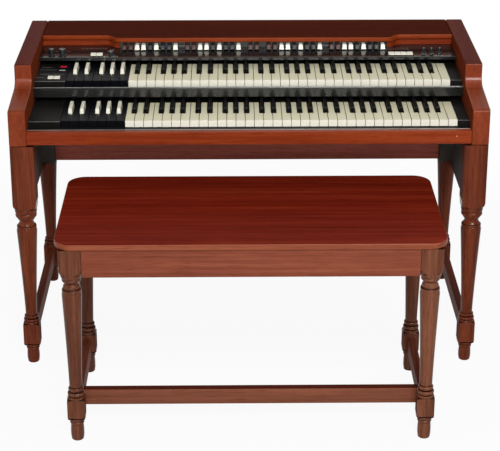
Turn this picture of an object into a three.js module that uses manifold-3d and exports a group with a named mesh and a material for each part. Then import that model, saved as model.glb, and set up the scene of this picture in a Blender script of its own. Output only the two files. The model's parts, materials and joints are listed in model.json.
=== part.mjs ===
import * as THREE from 'three';
import { mergeVertices } from 'three/addons/utils/BufferGeometryUtils.js';
import Module from 'manifold-3d';

// A two-manual console organ on turned legs, with its bench. Lengths are millimetres.
// X runs to the player's right, Y away from the player and Z up from the floor.
// Depths are counted from the front of the case; the whole group is then moved so that
// the origin lies on the floor, under the middle of organ and bench.

const wasm = await Module();
wasm.setup();

// Fits
const seatGap = 0.3;
const runningGap = 0.5;
const cutOverrun = 4;

// Case
const caseWidth = 1212;
const caseHeight = 784;
const caseDepth = 590;
const cheekThickness = 44;
const boardThickness = 18;
const backThickness = 16;
const lidThickness = 12.5;
const lidRecess = 2.5;
const cheekCorner = 8;
const cheekBackCorner = 14;
const armFrontLift = 41;
const armBackLift = 54;
const riserDepth = 166;
const riserHollowDepth = 35;
const riserCurveLift = 24;
const keyslipLift = 4;
const keyslipHeight = 34.5;

// Manuals: the upper one hangs below the control shelf, the lower one stands a step below it
const lowerKeyFront = 46;
const naturalCount = 36;
const presetCount = 7;
const presetBlockWidth = 81.9;
const octaveNaturals = 7;
const keySlit = 0.9;
const manualOverlap = 36;
const manualHeadroom = 3;
const keyThickness = 19;
const keyBarDepth = 24;
const pivotInset = 10;
const pivotRailWidth = 6;
const sharpWidth = 12;
const sharpClearance = 1.2;
const sharpSetback = 56;
const sharpRise = 12;
const sharpSlope = 3.5;
const sharpToothDepth = 11;
const sharpToothClearance = 24;
const sharpBarDepth = 34;
const sharpBarOverhang = 6;
const sharpBarThickness = 8.5;
const keyTravelRoom = 11;
const lowerTrayThickness = 4.7;
const upperTrayThickness = 8;
const lipDrop = 2;
const lipClearance = 1.5;
const endBlockWidth = 30;
const endBlockDrop = 2;
const endBlockSlit = 1;
const sharpPlaces = [
  { after: 0, offsetShare: -0.14 },
  { after: 1, offsetShare: 0.14 },
  { after: 3, offsetShare: -0.18 },
  { after: 4, offsetShare: 0 },
  { after: 5, offsetShare: 0.18 },
];

// Fascia between the manuals
const fasciaHeight = 25.5;
const fasciaLean = 3;
const fasciaLip = 2.5;
const fasciaClearance = 2.5;
const fasciaKeyGap = 21;

// Control shelf, drawbar bay and the wood rail under the lid
const bayHeight = 18.7;
const shelfKeyClearance = 2;
const shelfThickness = 9;
const shelfRise = 1;
const shelfReach = 129;
const shelfLean = 0.5;
const shelfFlatDepth = 39;
const shelfGeneratorGap = 7;
const leftPanelWidth = 173.7;
const rightPanelWidth = 141.7;
const bayCurveWidth = 38;
const railSetback = 14;
const railSwing = 27;
const railThickness = 12;
const railStripHeight = 6;
const lidOverhang = 9;
const drawbarPanelThickness = 3;
const curveHandleShare = 0.5;

// Drawbars
const bayMargin = 13.9;
const drawbarSetGap = 32.5;
const capGap = 3.9;
const capLength = 26;
const capHeight = 13;
const capLift = 2;
const capSlope = 3;
const capStandoff = 0.7;
const shaftWidth = 4;
const shaftHeight = 5;
const shaftTail = 34;
const shaftBarDepth = 8;
const windowClearance = 1;
const drawbarSets = [
  { name: 'upper_first_drawbars', count: 9 },
  { name: 'upper_second_drawbars', count: 9 },
  { name: 'pedal_drawbars', count: 2 },
  { name: 'lower_first_drawbars', count: 9 },
  { name: 'lower_second_drawbars', count: 9 },
];

// Knobs and tabs, placed from the nearer cheek and from the shelf's front edge
const knobSkirt = 2;
const knobSkirtHeight = 3;
const knobCrown = 1.5;
const controlKnobs = [
  { name: 'volume_knob', side: -1, inset: 31.7, setback: 21, radius: 10, height: 18 },
  { name: 'overdrive_knob', side: -1, inset: 60.7, setback: 21, radius: 12, height: 18 },
  { name: 'vibrato_switch', side: -1, inset: 191.7, setback: 20, radius: 11, height: 12 },
  { name: 'reverb_knob', side: 1, inset: 84.7, setback: 33, radius: 7, height: 14 },
  { name: 'bass_knob', side: 1, inset: 63.7, setback: 33, radius: 7, height: 14 },
  { name: 'treble_knob', side: 1, inset: 41.7, setback: 33, radius: 7, height: 14 },
];
const tabLength = 16;
const tabWidth = 15.5;
const tabPitch = 16.6;
const tabFrontHeight = 4.5;
const tabBackHeight = 6;
const tabEdgeLift = 1.6;
const tabPivotLift = 0.4;
const tabRod = 1.6;
const tabSetback = 8;
const vibratoTabsInset = 153.7;
const percussionTabsInset = 149.2;
const presetTabsInset = 49.7;
const presetTabsSetback = 14;

// Tonewheel generator, motor and electronics inside the case
const generatorInset = 231.7;
const generatorBackRoom = 9;
const generatorManualGap = 49;
const generatorDepth = 96;
const generatorHeight = 104;
const generatorPlate = 4;
const generatorBays = 4;
const wheelsPerBay = 5;
const wheelAxisHeight = 54;
const wheelRadius = 24;
const wheelWidth = 6;
const wheelEndRoom = 26;
const wheelShaftRadius = 5;
const wheelShaftEnd = 8;
const motorRadius = 32;
const motorLength = 74;
const motorFootWidth = 50;
const motorStub = 10;
const amplifierLength = 150;
const amplifierDepth = 92;
const amplifierHeight = 42;
const amplifierInset = 99.7;
const valveRadius = 11;
const valveHeight = 44;
const valvePitch = 30;
const valveCount = 3;
const transformerSize = 38;
const inletWidth = 30;
const inletHeight = 24;
const inletLength = 26;
const inletRim = 3;
const inletCavity = 16;
const inletLift = 60;

// Console legs: the front pair is turned below a square block, the rear pair below a socket.
// Low features are counted up from the floor, high ones down from the top of the leg.
const consoleRearInset = 50;
const socketWidth = 47;
const socketLength = 247;
const sideRailInset = 16;
const sideRailThickness = 6;
const sideRailFrontDrop = 158;
const sideRailRearDrop = 262;
const sideRailTaper = 300;
const rearApronInset = 6;
const rearApronDrop = 240;
const stretcherThickness = 20;
const stretcherHeight = 42;
const stretcherBottom = 62;
const consoleLegTurning = {
  footRadius: 15, footHeight: 38, ringRadius: 19, ringTop: 53, lowBlock: 43, lowBlockTop: 116,
  collarRadius: 18, collarTop: 137, shaftRadius: 14.8, bulbRadius: 26, bulbDrop: 234,
  shoulderRadius: 22, neckRadius: 19.5, neckDrop: 206, beadRadius: 26, beadDrop: 192,
  blockDrop: 164, block: 60,
};

// Bench
const benchSideRoom = 85;
const benchHeadroom = 92;
const benchDepth = 434;
const benchReach = 404;
const benchTopThickness = 16;
const benchCorner = 45;
const benchLegInset = 38;
const benchFrontOverhang = 30;
const benchRearOverhang = 57;
const benchApronDrop = 70;
const benchApronInset = 2;
const benchLowRailSetback = 57;
const benchStretcherBottom = 60;
const benchLegTurning = {
  footRadius: 15.5, footHeight: 43, ringRadius: 20, ringTop: 59, lowBlock: 42.5, lowBlockTop: 114,
  collarRadius: 19, collarTop: 149, shaftRadius: 16.5, bulbRadius: 24, bulbDrop: 124,
  shoulderRadius: 20, neckRadius: 17, neckDrop: 91, beadRadius: 23, beadDrop: 77,
  blockDrop: 57, block: 53,
};

// Facets and outline shares
const legFacets = 14;
const knobFacets = 16;
const wheelFacets = 12;
const curveFacets = 10;
const legCoreShare = 0.8;

// Heights worked out from the top of the case downwards
const lidTop = caseHeight - lidRecess;
const lidBottom = lidTop - lidThickness;
const underLid = lidBottom - seatGap;
const shelfBackTop = underLid - bayHeight;
const shelfFrontTop = shelfBackTop - shelfRise;
const shelfBottom = shelfFrontTop - shelfThickness;
const upperKeyTop = shelfBottom - shelfKeyClearance - sharpRise;
const manualRise = sharpRise + manualHeadroom + upperTrayThickness + keyTravelRoom + keyThickness;
const lowerKeyTop = upperKeyTop - manualRise;
const upperTrayBottom = lowerKeyTop + sharpRise + manualHeadroom;
const lowerTrayBottom = lowerKeyTop - keyThickness - keyTravelRoom - lowerTrayThickness;
const floorBoardTop = lowerTrayBottom - seatGap;
const caseUnderside = floorBoardTop - boardThickness;
const keyslipBottom = caseUnderside + keyslipLift;
const keyslipTop = keyslipBottom + keyslipHeight;
const armFrontHeight = lowerKeyTop + armFrontLift;
const armBackHeight = lowerKeyTop + armBackLift;
const riserCurveHeight = upperKeyTop + riserCurveLift;
const benchHeight = caseUnderside - benchHeadroom;

// Depths worked out from the back of the case forwards
const backFront = caseDepth - backThickness;
const wheelAxisDepth = backFront - generatorBackRoom - generatorDepth / 2;
const generatorFront = wheelAxisDepth - generatorDepth / 2;
const upperManualBack = generatorFront - generatorManualGap;
const keyLength = (upperManualBack - sharpBarOverhang + manualOverlap - lowerKeyFront) / 2;
const sharpToothLength = keyLength - keyBarDepth - sharpSetback - sharpToothClearance;
const upperKeyFront = lowerKeyFront + keyLength - manualOverlap;
const shelfFront = upperKeyFront + shelfReach;
const shelfBack = generatorFront - shelfGeneratorGap;
const shelfSlopeEnd = shelfBack - shelfFlatDepth;
const shelfSlopeDepth = shelfSlopeEnd - shelfFront;
const shelfTilt = Math.atan2(shelfRise, shelfSlopeDepth);
const railSideFront = shelfBack - railSetback;
const railBayFront = railSideFront - railSwing;
const lidSideFront = railSideFront - lidOverhang;
const lidBayFront = railBayFront - lidOverhang;
const drawbarPanelFront = shelfSlopeEnd + seatGap;
const consoleFrontLegDepth = consoleLegTurning.block / 2;
const consoleRearLegDepth = caseDepth - consoleRearInset;
const benchFront = -benchReach;
const benchFrontLegDepth = benchFront + benchFrontOverhang;
const benchRearLegDepth = benchFront + benchDepth - benchRearOverhang;
const originDepth = (caseDepth + benchFront) / 2;

// Widths worked out between the cheeks
const innerHalf = caseWidth / 2 - cheekThickness - seatGap;
const keysRight = innerHalf - endBlockWidth - endBlockSlit;
const presetsLeft = presetBlockWidth - innerHalf;
const naturalPitch = (keysRight - presetsLeft) / (naturalCount + presetCount);
const keysLeft = keysRight - naturalCount * naturalPitch;
const bayLeft = leftPanelWidth + bayCurveWidth - innerHalf;
const bayRight = innerHalf - rightPanelWidth - bayCurveWidth;
const drawbarPitch = drawbarRun() / drawbarSteps();
const capWidth = drawbarPitch - capGap;
const generatorLength = 2 * (innerHalf - generatorInset);
const generatorBayLength = (generatorLength - generatorPlate) / generatorBays;
const wheelPitch = (generatorBayLength - 2 * wheelEndRoom) / (wheelsPerBay - 1);
const amplifierCentre = amplifierInset - innerHalf;
const consoleLegX = (caseWidth - consoleLegTurning.block) / 2;
const benchWidth = 2 * (consoleLegX - consoleLegTurning.block / 2 - benchSideRoom);
const benchLegX = benchWidth / 2 - benchLegInset;

function drawbarRun() {
  return bayRight - bayLeft - 2 * bayMargin - (drawbarSets.length - 1) * drawbarSetGap;
}

function drawbarSteps() {
  return drawbarSets.reduce((sum, set) => sum + set.count - 1, 0);
}

// Solids
function weld(geometry) {
  const bare = geometry.clone();
  bare.deleteAttribute('normal');
  bare.deleteAttribute('uv');
  const merged = mergeVertices(bare);
  const corners = merged.index.array;
  const kept = [];
  for (let i = 0; i < corners.length; i += 3) {
    const [a, b, c] = [corners[i], corners[i + 1], corners[i + 2]];
    if (a !== b && b !== c && c !== a) kept.push(a, b, c);
  }
  return new wasm.Manifold(new wasm.Mesh({
    numProp: 3,
    vertProperties: new Float32Array(merged.attributes.position.array),
    triVerts: new Uint32Array(kept),
  }));
}

function join(geometries) {
  return geometries.map(weld).reduce((whole, next) => whole.add(next));
}

function toGeometry(solid) {
  const mesh = solid.getMesh();
  const geometry = new THREE.BufferGeometry();
  geometry.setAttribute('position', new THREE.BufferAttribute(new Float32Array(mesh.vertProperties), 3));
  geometry.setIndex(new THREE.BufferAttribute(new Uint32Array(mesh.triVerts), 1));
  geometry.computeVertexNormals();
  return geometry;
}

function block(left, right, front, back, bottom, top) {
  const geometry = new THREE.BoxGeometry(right - left, back - front, top - bottom);
  return geometry.translate((left + right) / 2, (front + back) / 2, (bottom + top) / 2);
}

function outline(points) {
  return new THREE.Shape(points.map(([u, v]) => new THREE.Vector2(u, v)));
}

function extruded(shape, length) {
  return new THREE.ExtrudeGeometry(shape, { depth: length, bevelEnabled: false, curveSegments: curveFacets });
}

// A depth-height outline drawn out across the organ
function acrossX(shape, left, right) {
  const turn = new THREE.Matrix4().set(0, 0, 1, left, 1, 0, 0, 0, 0, 1, 0, 0, 0, 0, 0, 1);
  return extruded(shape, right - left).applyMatrix4(turn);
}

// A plan outline drawn upwards
function upZ(shape, bottom, top) {
  return extruded(shape, top - bottom).translate(0, 0, bottom);
}

// A profile of radius-height pairs turned about the vertical
function turned(profile, facets) {
  const points = profile.map(([radius, height]) => new THREE.Vector2(radius, height));
  return new THREE.LatheGeometry(points, facets).rotateX(Math.PI / 2);
}

// An upright panel with windows cut through it, each given as left, right, bottom and top
function windowedPanel([left, right, bottom, top], front, back, windows) {
  const cutters = windows.map(([l, r, b, t]) => block(l, r, front - cutOverrun, back + cutOverrun, b, t));
  return weld(block(left, right, front, back, bottom, top)).subtract(join(cutters));
}

// Finishes
const finishes = {
  wood: { color: 0x6f2f1c, roughness: 0.38, metalness: 0 },
  darkWood: { color: 0x4a1d10, roughness: 0.36, metalness: 0 },
  benchWood: { color: 0x6d1d12, roughness: 0.34, metalness: 0 },
  ivory: { color: 0xe3dcc0, roughness: 0.3, metalness: 0 },
  ebony: { color: 0x141313, roughness: 0.32, metalness: 0 },
  blackPanel: { color: 0x1b1a19, roughness: 0.25, metalness: 0 },
  blackSteel: { color: 0x1f1f1e, roughness: 0.5, metalness: 0.3 },
  brownCap: { color: 0x3d2019, roughness: 0.35, metalness: 0 },
  whiteCap: { color: 0xeae6d8, roughness: 0.3, metalness: 0 },
  cream: { color: 0xded6b4, roughness: 0.35, metalness: 0 },
  steel: { color: 0x9a9c9c, roughness: 0.35, metalness: 0.9 },
  motorPaint: { color: 0x2c3336, roughness: 0.5, metalness: 0.4 },
};

const organ = new THREE.Group();

function addPiece(name, shape, finish) {
  const geometry = shape.isBufferGeometry ? shape : toGeometry(shape);
  const mesh = new THREE.Mesh(geometry, new THREE.MeshStandardMaterial(finishes[finish]));
  mesh.name = name;
  organ.add(mesh);
  return mesh;
}

// Cheeks: high at the back, stepping down in a hollow curve to arms beside the keys
function cheekShape() {
  const shape = new THREE.Shape();
  shape.moveTo(0, caseUnderside);
  shape.lineTo(0, armFrontHeight - cheekCorner);
  shape.quadraticCurveTo(0, armFrontHeight, cheekCorner, armFrontHeight + cheekCorner / 8);
  shape.lineTo(riserDepth - riserHollowDepth, armBackHeight);
  shape.quadraticCurveTo(riserDepth, armBackHeight + cheekCorner / 2, riserDepth, riserCurveHeight);
  shape.lineTo(riserDepth, caseHeight - cheekCorner / 2);
  shape.quadraticCurveTo(riserDepth, caseHeight, riserDepth + cheekCorner / 2, caseHeight);
  shape.lineTo(caseDepth - cheekBackCorner, caseHeight);
  shape.quadraticCurveTo(caseDepth, caseHeight, caseDepth, caseHeight - cheekBackCorner);
  shape.lineTo(caseDepth, caseUnderside);
  return shape;
}

function addCheeks() {
  const inner = caseWidth / 2 - cheekThickness;
  addPiece('left_cheek', acrossX(cheekShape(), -caseWidth / 2, -inner), 'wood');
  addPiece('right_cheek', acrossX(cheekShape(), inner, caseWidth / 2), 'wood');
}

// The lid's front edge swings forward over the drawbar bay
function addLid() {
  const handle = bayCurveWidth * curveHandleShare;
  const outerRight = bayRight + bayCurveWidth;
  const outerLeft = bayLeft - bayCurveWidth;
  const shape = new THREE.Shape();
  shape.moveTo(innerHalf, caseDepth);
  shape.lineTo(-innerHalf, caseDepth);
  shape.lineTo(-innerHalf, lidSideFront);
  shape.lineTo(outerLeft, lidSideFront);
  shape.bezierCurveTo(outerLeft + handle, lidSideFront, bayLeft - handle, lidBayFront, bayLeft, lidBayFront);
  shape.lineTo(bayRight, lidBayFront);
  shape.bezierCurveTo(bayRight + handle, lidBayFront, outerRight - handle, lidSideFront,
    outerRight, lidSideFront);
  shape.lineTo(innerHalf, lidSideFront);
  addPiece('top_lid', upZ(shape, lidBottom, lidTop), 'darkWood');
}

function railEndShape(side) {
  const edge = side < 0 ? bayLeft : bayRight;
  const outer = edge + side * bayCurveWidth;
  const handle = side * bayCurveWidth * curveHandleShare;
  const shape = new THREE.Shape();
  shape.moveTo(side * innerHalf, railSideFront);
  shape.lineTo(outer, railSideFront);
  shape.bezierCurveTo(outer - handle, railSideFront, edge + handle, railBayFront, edge, railBayFront);
  shape.lineTo(edge, railSideFront + railThickness);
  shape.lineTo(side * innerHalf, railSideFront + railThickness);
  return shape;
}

function addUpperRail() {
  const bottom = shelfBackTop + seatGap;
  const strip = block(bayLeft - cutOverrun, bayRight + cutOverrun, railSideFront,
    railSideFront + railThickness, underLid - railStripHeight, underLid);
  const ends = [-1, 1].map((side) => upZ(railEndShape(side), bottom, underLid));
  addPiece('upper_rail', join([...ends, strip]), 'wood');
}

function addCaseBoards() {
  const floorFront = boardThickness + seatGap;
  const floorBack = backFront - seatGap;
  addPiece('bottom_board',
    block(-innerHalf, innerHalf, floorFront, floorBack, caseUnderside, floorBoardTop), 'darkWood');
  addPiece('keyslip',
    block(-innerHalf, innerHalf, 0, boardThickness, keyslipBottom, keyslipTop), 'wood');
  addPiece('back_panel', windowedPanel([-innerHalf, innerHalf, caseUnderside, underLid],
    backFront, caseDepth, [inletOutline(seatGap)]), 'darkWood');
}

// Keys
function sharpCentres(left, count) {
  const centres = [];
  for (let i = 0; i + 1 < count; i += 1) {
    const place = sharpPlaces.find((sharp) => sharp.after === i % octaveNaturals);
    if (place) centres.push(left + (i + 1 + place.offsetShare) * naturalPitch);
  }
  return centres;
}

function naturalComb(left, count, front, top) {
  const sharps = sharpCentres(left, count);
  const notch = front + sharpSetback - sharpClearance;
  const barFront = front + keyLength - keyBarDepth;
  const halfSlot = sharpWidth / 2 + sharpClearance;
  const points = [];
  for (let i = 0; i < count; i += 1) {
    const keyLeft = left + i * naturalPitch + keySlit / 2;
    const keyRight = keyLeft + naturalPitch - keySlit;
    const before = sharps.find((x) => Math.abs(x - keyLeft) < sharpWidth);
    const after = sharps.find((x) => Math.abs(x - keyRight) < sharpWidth);
    const tailLeft = before === undefined ? keyLeft : before + halfSlot;
    const tailRight = after === undefined ? keyRight : after - halfSlot;
    points.push([tailLeft, barFront]);
    if (before !== undefined) points.push([tailLeft, notch], [keyLeft, notch]);
    points.push([keyLeft, front], [keyRight, front]);
    if (after !== undefined) points.push([keyRight, notch], [tailRight, notch]);
    points.push([tailRight, barFront]);
  }
  points.push([left + count * naturalPitch - keySlit / 2, front + keyLength]);
  points.push([left + keySlit / 2, front + keyLength]);
  return upZ(outline(points), top - keyThickness, top);
}

function sharpComb(left, count, front, top) {
  const sharps = sharpCentres(left, count);
  const sharpFront = front + sharpSetback;
  const toothBack = sharpFront + sharpToothLength;
  const back = front + keyLength + sharpBarOverhang;
  const sharpTop = top + sharpRise;
  const barBottom = sharpTop - sharpBarThickness;
  const toothBottom = top - sharpToothDepth;
  const side = outline([[sharpFront, toothBottom], [toothBack, toothBottom], [toothBack, barBottom],
    [back, barBottom], [back, sharpTop], [sharpFront + sharpSlope, sharpTop]]);
  const teeth = sharps.map((x) => acrossX(side, x - sharpWidth / 2, x + sharpWidth / 2));
  const first = sharps[0] - sharpWidth / 2;
  const last = sharps[sharps.length - 1] + sharpWidth / 2;
  return join([...teeth, block(first, last, back - sharpBarDepth, back, barBottom, sharpTop)]);
}

function addManual(name, front, top) {
  addPiece(`${name}_naturals`, naturalComb(keysLeft, naturalCount, front, top), 'ivory');
  addPiece(`${name}_sharps`, sharpComb(keysLeft, naturalCount, front, top), 'ebony');
  addPiece(`${name}_preset_naturals`, naturalComb(presetsLeft, presetCount, front, top), 'ebony');
  addPiece(`${name}_preset_sharps`, sharpComb(presetsLeft, presetCount, front, top), 'ivory');
}

// A tray under the keys, with a block at each end, a rail that the white keys rock on
// and a wall behind them that the black keys rock on
function manualFrame(front, top, trayBottom) {
  const back = front + keyLength + sharpBarOverhang;
  const trayTop = top - keyThickness - keyTravelRoom;
  const blockTop = top - endBlockDrop;
  const pivot = front + keyLength - pivotInset;
  const wallFront = front + keyLength + endBlockSlit;
  const wallTop = top + sharpRise - sharpBarThickness - seatGap;
  return [
    block(-innerHalf, innerHalf, front, back, trayBottom, trayTop),
    block(-innerHalf, presetsLeft - endBlockSlit, front, back, trayBottom, blockTop),
    block(keysRight + endBlockSlit, innerHalf, front, back, trayBottom, blockTop),
    block(presetsLeft, keysRight, pivot - pivotRailWidth / 2, pivot + pivotRailWidth / 2,
      trayBottom, top - keyThickness - seatGap),
    block(presetsLeft, keysRight, wallFront, back, trayBottom, wallTop),
  ];
}

// The lower frame also fills the step between the keyslip and the key fronts
function addManualFrames() {
  const lower = manualFrame(lowerKeyFront, lowerKeyTop, lowerTrayBottom);
  const lipFront = boardThickness + seatGap;
  const lipBack = lowerKeyFront - lipClearance;
  const lipTop = keyslipTop - lipDrop;
  const trayTop = lowerTrayBottom + lowerTrayThickness;
  lower.push(block(-innerHalf, innerHalf, lipFront, lipBack, lowerTrayBottom, lipTop));
  lower.push(block(-innerHalf, innerHalf, lipFront, lowerKeyFront + cutOverrun, lowerTrayBottom, trayTop));
  addPiece('lower_manual_frame', join(lower), 'blackPanel');
  addPiece('upper_manual_frame',
    join(manualFrame(upperKeyFront, upperKeyTop, upperTrayBottom)), 'blackPanel');
}

function addFascia() {
  const back = upperKeyFront - fasciaKeyGap;
  const bottom = lowerKeyTop + sharpRise + fasciaClearance;
  const top = bottom + fasciaHeight;
  const front = back - fasciaLean;
  const shape = outline([[front, bottom], [back, bottom], [back, top],
    [back - fasciaLip, top], [front, bottom + fasciaLip]]);
  addPiece('manual_fascia', acrossX(shape, -innerHalf, innerHalf), 'blackPanel');
}

// Control shelf: its front stands over the upper keys, its top rises to the bay and the rail
function shelfTopAt(depth) {
  const share = Math.min(Math.max((depth - shelfFront) / shelfSlopeDepth, 0), 1);
  return shelfFrontTop + share * shelfRise;
}

function addShelf() {
  const lip = shelfFront - shelfLean;
  const shape = outline([[lip, shelfBottom], [shelfBack, shelfBottom], [shelfBack, shelfBackTop],
    [shelfSlopeEnd, shelfBackTop], [shelfFront, shelfFrontTop]]);
  addPiece('control_shelf', acrossX(shape, -innerHalf, innerHalf), 'blackPanel');
}

function drawbarSetLefts() {
  let x = bayLeft + bayMargin;
  return drawbarSets.map((set) => {
    const left = x;
    x += (set.count - 1) * drawbarPitch + drawbarSetGap;
    return left;
  });
}

function addDrawbarPanel() {
  const bottom = shelfBackTop + seatGap;
  const stemBottom = shelfBackTop + capLift + (capHeight - shaftHeight) / 2;
  const reach = shaftWidth / 2 + windowClearance;
  const windows = drawbarSetLefts().map((first, i) => {
    const last = first + (drawbarSets[i].count - 1) * drawbarPitch;
    return [first - reach, last + reach, stemBottom - windowClearance,
      stemBottom + shaftHeight + windowClearance];
  });
  addPiece('drawbar_panel', windowedPanel([bayLeft + seatGap, bayRight - seatGap, bottom, underLid],
    drawbarPanelFront, drawbarPanelFront + drawbarPanelThickness, windows), 'blackPanel');
}

// One set of drawbars: caps in front of the panel, stems through it and a bar behind
function drawbarSet(first, count) {
  const capBack = drawbarPanelFront - capStandoff;
  const capFront = capBack - capLength;
  const capBottom = shelfBackTop + capLift;
  const capTop = capBottom + capHeight;
  const stemBottom = capBottom + (capHeight - shaftHeight) / 2;
  const stemBack = capBack + shaftTail;
  const cap = outline([[capFront, capBottom], [capBack, capBottom], [capBack, capTop],
    [capFront + capSlope, capTop]]);
  const pieces = [];
  for (let i = 0; i < count; i += 1) {
    const x = first + i * drawbarPitch;
    pieces.push(acrossX(cap, x - capWidth / 2, x + capWidth / 2));
    pieces.push(block(x - shaftWidth / 2, x + shaftWidth / 2, capFront + capLength / 2, stemBack,
      stemBottom, stemBottom + shaftHeight));
  }
  const last = first + (count - 1) * drawbarPitch;
  pieces.push(block(first - shaftWidth / 2, last + shaftWidth / 2, stemBack, stemBack + shaftBarDepth,
    stemBottom, stemBottom + shaftHeight));
  return join(pieces);
}

function addDrawbars() {
  drawbarSetLefts().forEach((first, i) => {
    const set = drawbarSets[i];
    const finish = set.name === 'pedal_drawbars' ? 'brownCap' : 'whiteCap';
    addPiece(set.name, drawbarSet(first, set.count), finish);
  });
}

// Knobs stand square on the sloping shelf
function addKnobs() {
  controlKnobs.forEach(({ name, side, inset, setback, radius, height }) => {
    const profile = [[0, 0], [radius, 0], [radius, knobSkirtHeight], [radius - knobSkirt, knobSkirtHeight],
      [radius - knobSkirt, height - knobCrown], [radius - knobSkirt - knobCrown, height], [0, height]];
    const knob = addPiece(name, weld(turned(profile, knobFacets)), 'ebony');
    const depth = shelfFront + setback;
    knob.position.set(side * (innerHalf - inset), depth - seatGap * Math.sin(shelfTilt),
      shelfTopAt(depth) + seatGap);
    knob.rotation.x = shelfTilt;
  });
}

// Rocker tabs on one pivot rod, each with a shallow keel so that it can tip either way
function tabRow(centre, front, count, topAt) {
  const middle = front + tabLength / 2;
  const back = front + tabLength;
  const side = outline([[front, topAt(front) + tabEdgeLift], [middle, topAt(middle) + tabPivotLift],
    [back, topAt(back) + tabEdgeLift], [back, topAt(back) + tabBackHeight],
    [front, topAt(front) + tabFrontHeight]]);
  const left = centre - (count - 1) * tabPitch / 2;
  const tabs = [];
  for (let i = 0; i < count; i += 1) {
    const x = left + i * tabPitch;
    tabs.push(acrossX(side, x - tabWidth / 2, x + tabWidth / 2));
  }
  const rodBottom = topAt(middle) + tabEdgeLift;
  const last = left + (count - 1) * tabPitch;
  tabs.push(block(left, last, middle - tabRod / 2, middle + tabRod / 2, rodBottom, rodBottom + tabRod));
  return join(tabs);
}

function addTabs() {
  const front = shelfFront + tabSetback;
  const blockTop = upperKeyTop - endBlockDrop;
  const vibratoCentre = vibratoTabsInset - innerHalf;
  const presetCentre = presetTabsInset - innerHalf;
  addPiece('vibrato_tabs', tabRow(vibratoCentre, front, 2, shelfTopAt), 'cream');
  addPiece('percussion_tabs', tabRow(innerHalf - percussionTabsInset, front, 4, shelfTopAt), 'cream');
  addPiece('preset_tabs',
    tabRow(presetCentre, upperKeyFront + presetTabsSetback, 2, () => blockTop), 'cream');
}

// Generator: a plate frame with bearings, and the shaft that carries the tonewheels
function frontCylinder(radius, left, right, facets) {
  const geometry = new THREE.CylinderGeometry(radius, radius, right - left, facets);
  geometry.rotateZ(Math.PI / 2);
  return geometry.translate((left + right) / 2, wheelAxisDepth, floorBoardTop + wheelAxisHeight);
}

function addGenerator() {
  const half = generatorLength / 2;
  const bottom = floorBoardTop + seatGap;
  const back = generatorFront + generatorDepth;
  const plates = [block(-half, half, generatorFront, back, bottom, bottom + generatorPlate)];
  for (let i = 0; i <= generatorBays; i += 1) {
    const x = -half + generatorPlate / 2 + i * generatorBayLength;
    plates.push(block(x - generatorPlate / 2, x + generatorPlate / 2, generatorFront, back, bottom,
      bottom + generatorHeight));
  }
  const boreRadius = (wheelShaftRadius + runningGap) / Math.cos(Math.PI / wheelFacets);
  const bore = frontCylinder(boreRadius, -half - cutOverrun, half + cutOverrun, wheelFacets);
  addPiece('generator_frame', join(plates).subtract(weld(bore)), 'steel');

  const profile = [[0, -half - wheelShaftEnd], [wheelShaftRadius, -half - wheelShaftEnd]];
  for (let i = 0; i < generatorBays; i += 1) {
    const bayMiddle = -half + generatorPlate / 2 + (i + 1 / 2) * generatorBayLength;
    for (let j = 0; j < wheelsPerBay; j += 1) {
      const x = bayMiddle + (j - (wheelsPerBay - 1) / 2) * wheelPitch;
      profile.push([wheelShaftRadius, x - wheelWidth / 2], [wheelRadius, x - wheelWidth / 2]);
      profile.push([wheelRadius, x + wheelWidth / 2], [wheelShaftRadius, x + wheelWidth / 2]);
    }
  }
  profile.push([wheelShaftRadius, half + wheelShaftEnd], [0, half + wheelShaftEnd]);
  const shaft = turned(profile, wheelFacets).rotateY(Math.PI / 2);
  shaft.translate(0, wheelAxisDepth, floorBoardTop + wheelAxisHeight);
  addPiece('tonewheel_shaft', weld(shaft), 'steel');
}

function addMotor() {
  const shaftEnd = generatorLength / 2 + wheelShaftEnd + seatGap;
  const bodyLeft = shaftEnd + motorStub;
  const bodyRight = bodyLeft + motorLength;
  const foot = block(bodyLeft, bodyRight, wheelAxisDepth - motorFootWidth / 2,
    wheelAxisDepth + motorFootWidth / 2, floorBoardTop + seatGap, floorBoardTop + wheelAxisHeight);
  const stub = frontCylinder(wheelShaftRadius, shaftEnd, bodyLeft + cutOverrun, wheelFacets);
  const body = frontCylinder(motorRadius, bodyLeft, bodyRight, knobFacets);
  addPiece('run_motor', join([foot, stub, body]), 'motorPaint');
}

function addAmplifier() {
  const left = amplifierCentre - amplifierLength / 2;
  const right = amplifierCentre + amplifierLength / 2;
  const front = wheelAxisDepth - amplifierDepth / 2;
  const back = wheelAxisDepth + amplifierDepth / 2;
  const bottom = floorBoardTop + seatGap;
  const top = bottom + amplifierHeight;
  const pieces = [block(left, right, front, back, bottom, top)];
  const transformerLeft = left + valveRadius;
  pieces.push(block(transformerLeft, transformerLeft + transformerSize,
    wheelAxisDepth - transformerSize / 2, wheelAxisDepth + transformerSize / 2,
    top - generatorPlate, top + transformerSize));
  for (let i = 0; i < valveCount; i += 1) {
    const valveLength = valveHeight + generatorPlate;
    const valve = new THREE.CylinderGeometry(valveRadius, valveRadius, valveLength, knobFacets);
    valve.rotateX(Math.PI / 2);
    valve.translate(right - valveRadius * 2 + (i - valveCount + 1) * valvePitch, wheelAxisDepth,
      top + (valveHeight - generatorPlate) / 2);
    pieces.push(valve);
  }
  addPiece('amplifier', join(pieces), 'steel');
}

function inletOutline(margin) {
  const bottom = caseUnderside + inletLift;
  return [amplifierCentre - inletWidth / 2 - margin, amplifierCentre + inletWidth / 2 + margin,
    bottom - margin, bottom + inletHeight + margin];
}

function addInlet() {
  const [left, right, bottom, top] = inletOutline(0);
  const shell = weld(block(left, right, caseDepth - inletLength, caseDepth, bottom, top));
  const cavity = block(left + inletRim, right - inletRim, caseDepth - inletCavity,
    caseDepth + cutOverrun, bottom + inletRim, top - inletRim);
  addPiece('mains_inlet', shell.subtract(weld(cavity)), 'blackPanel');
}

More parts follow.
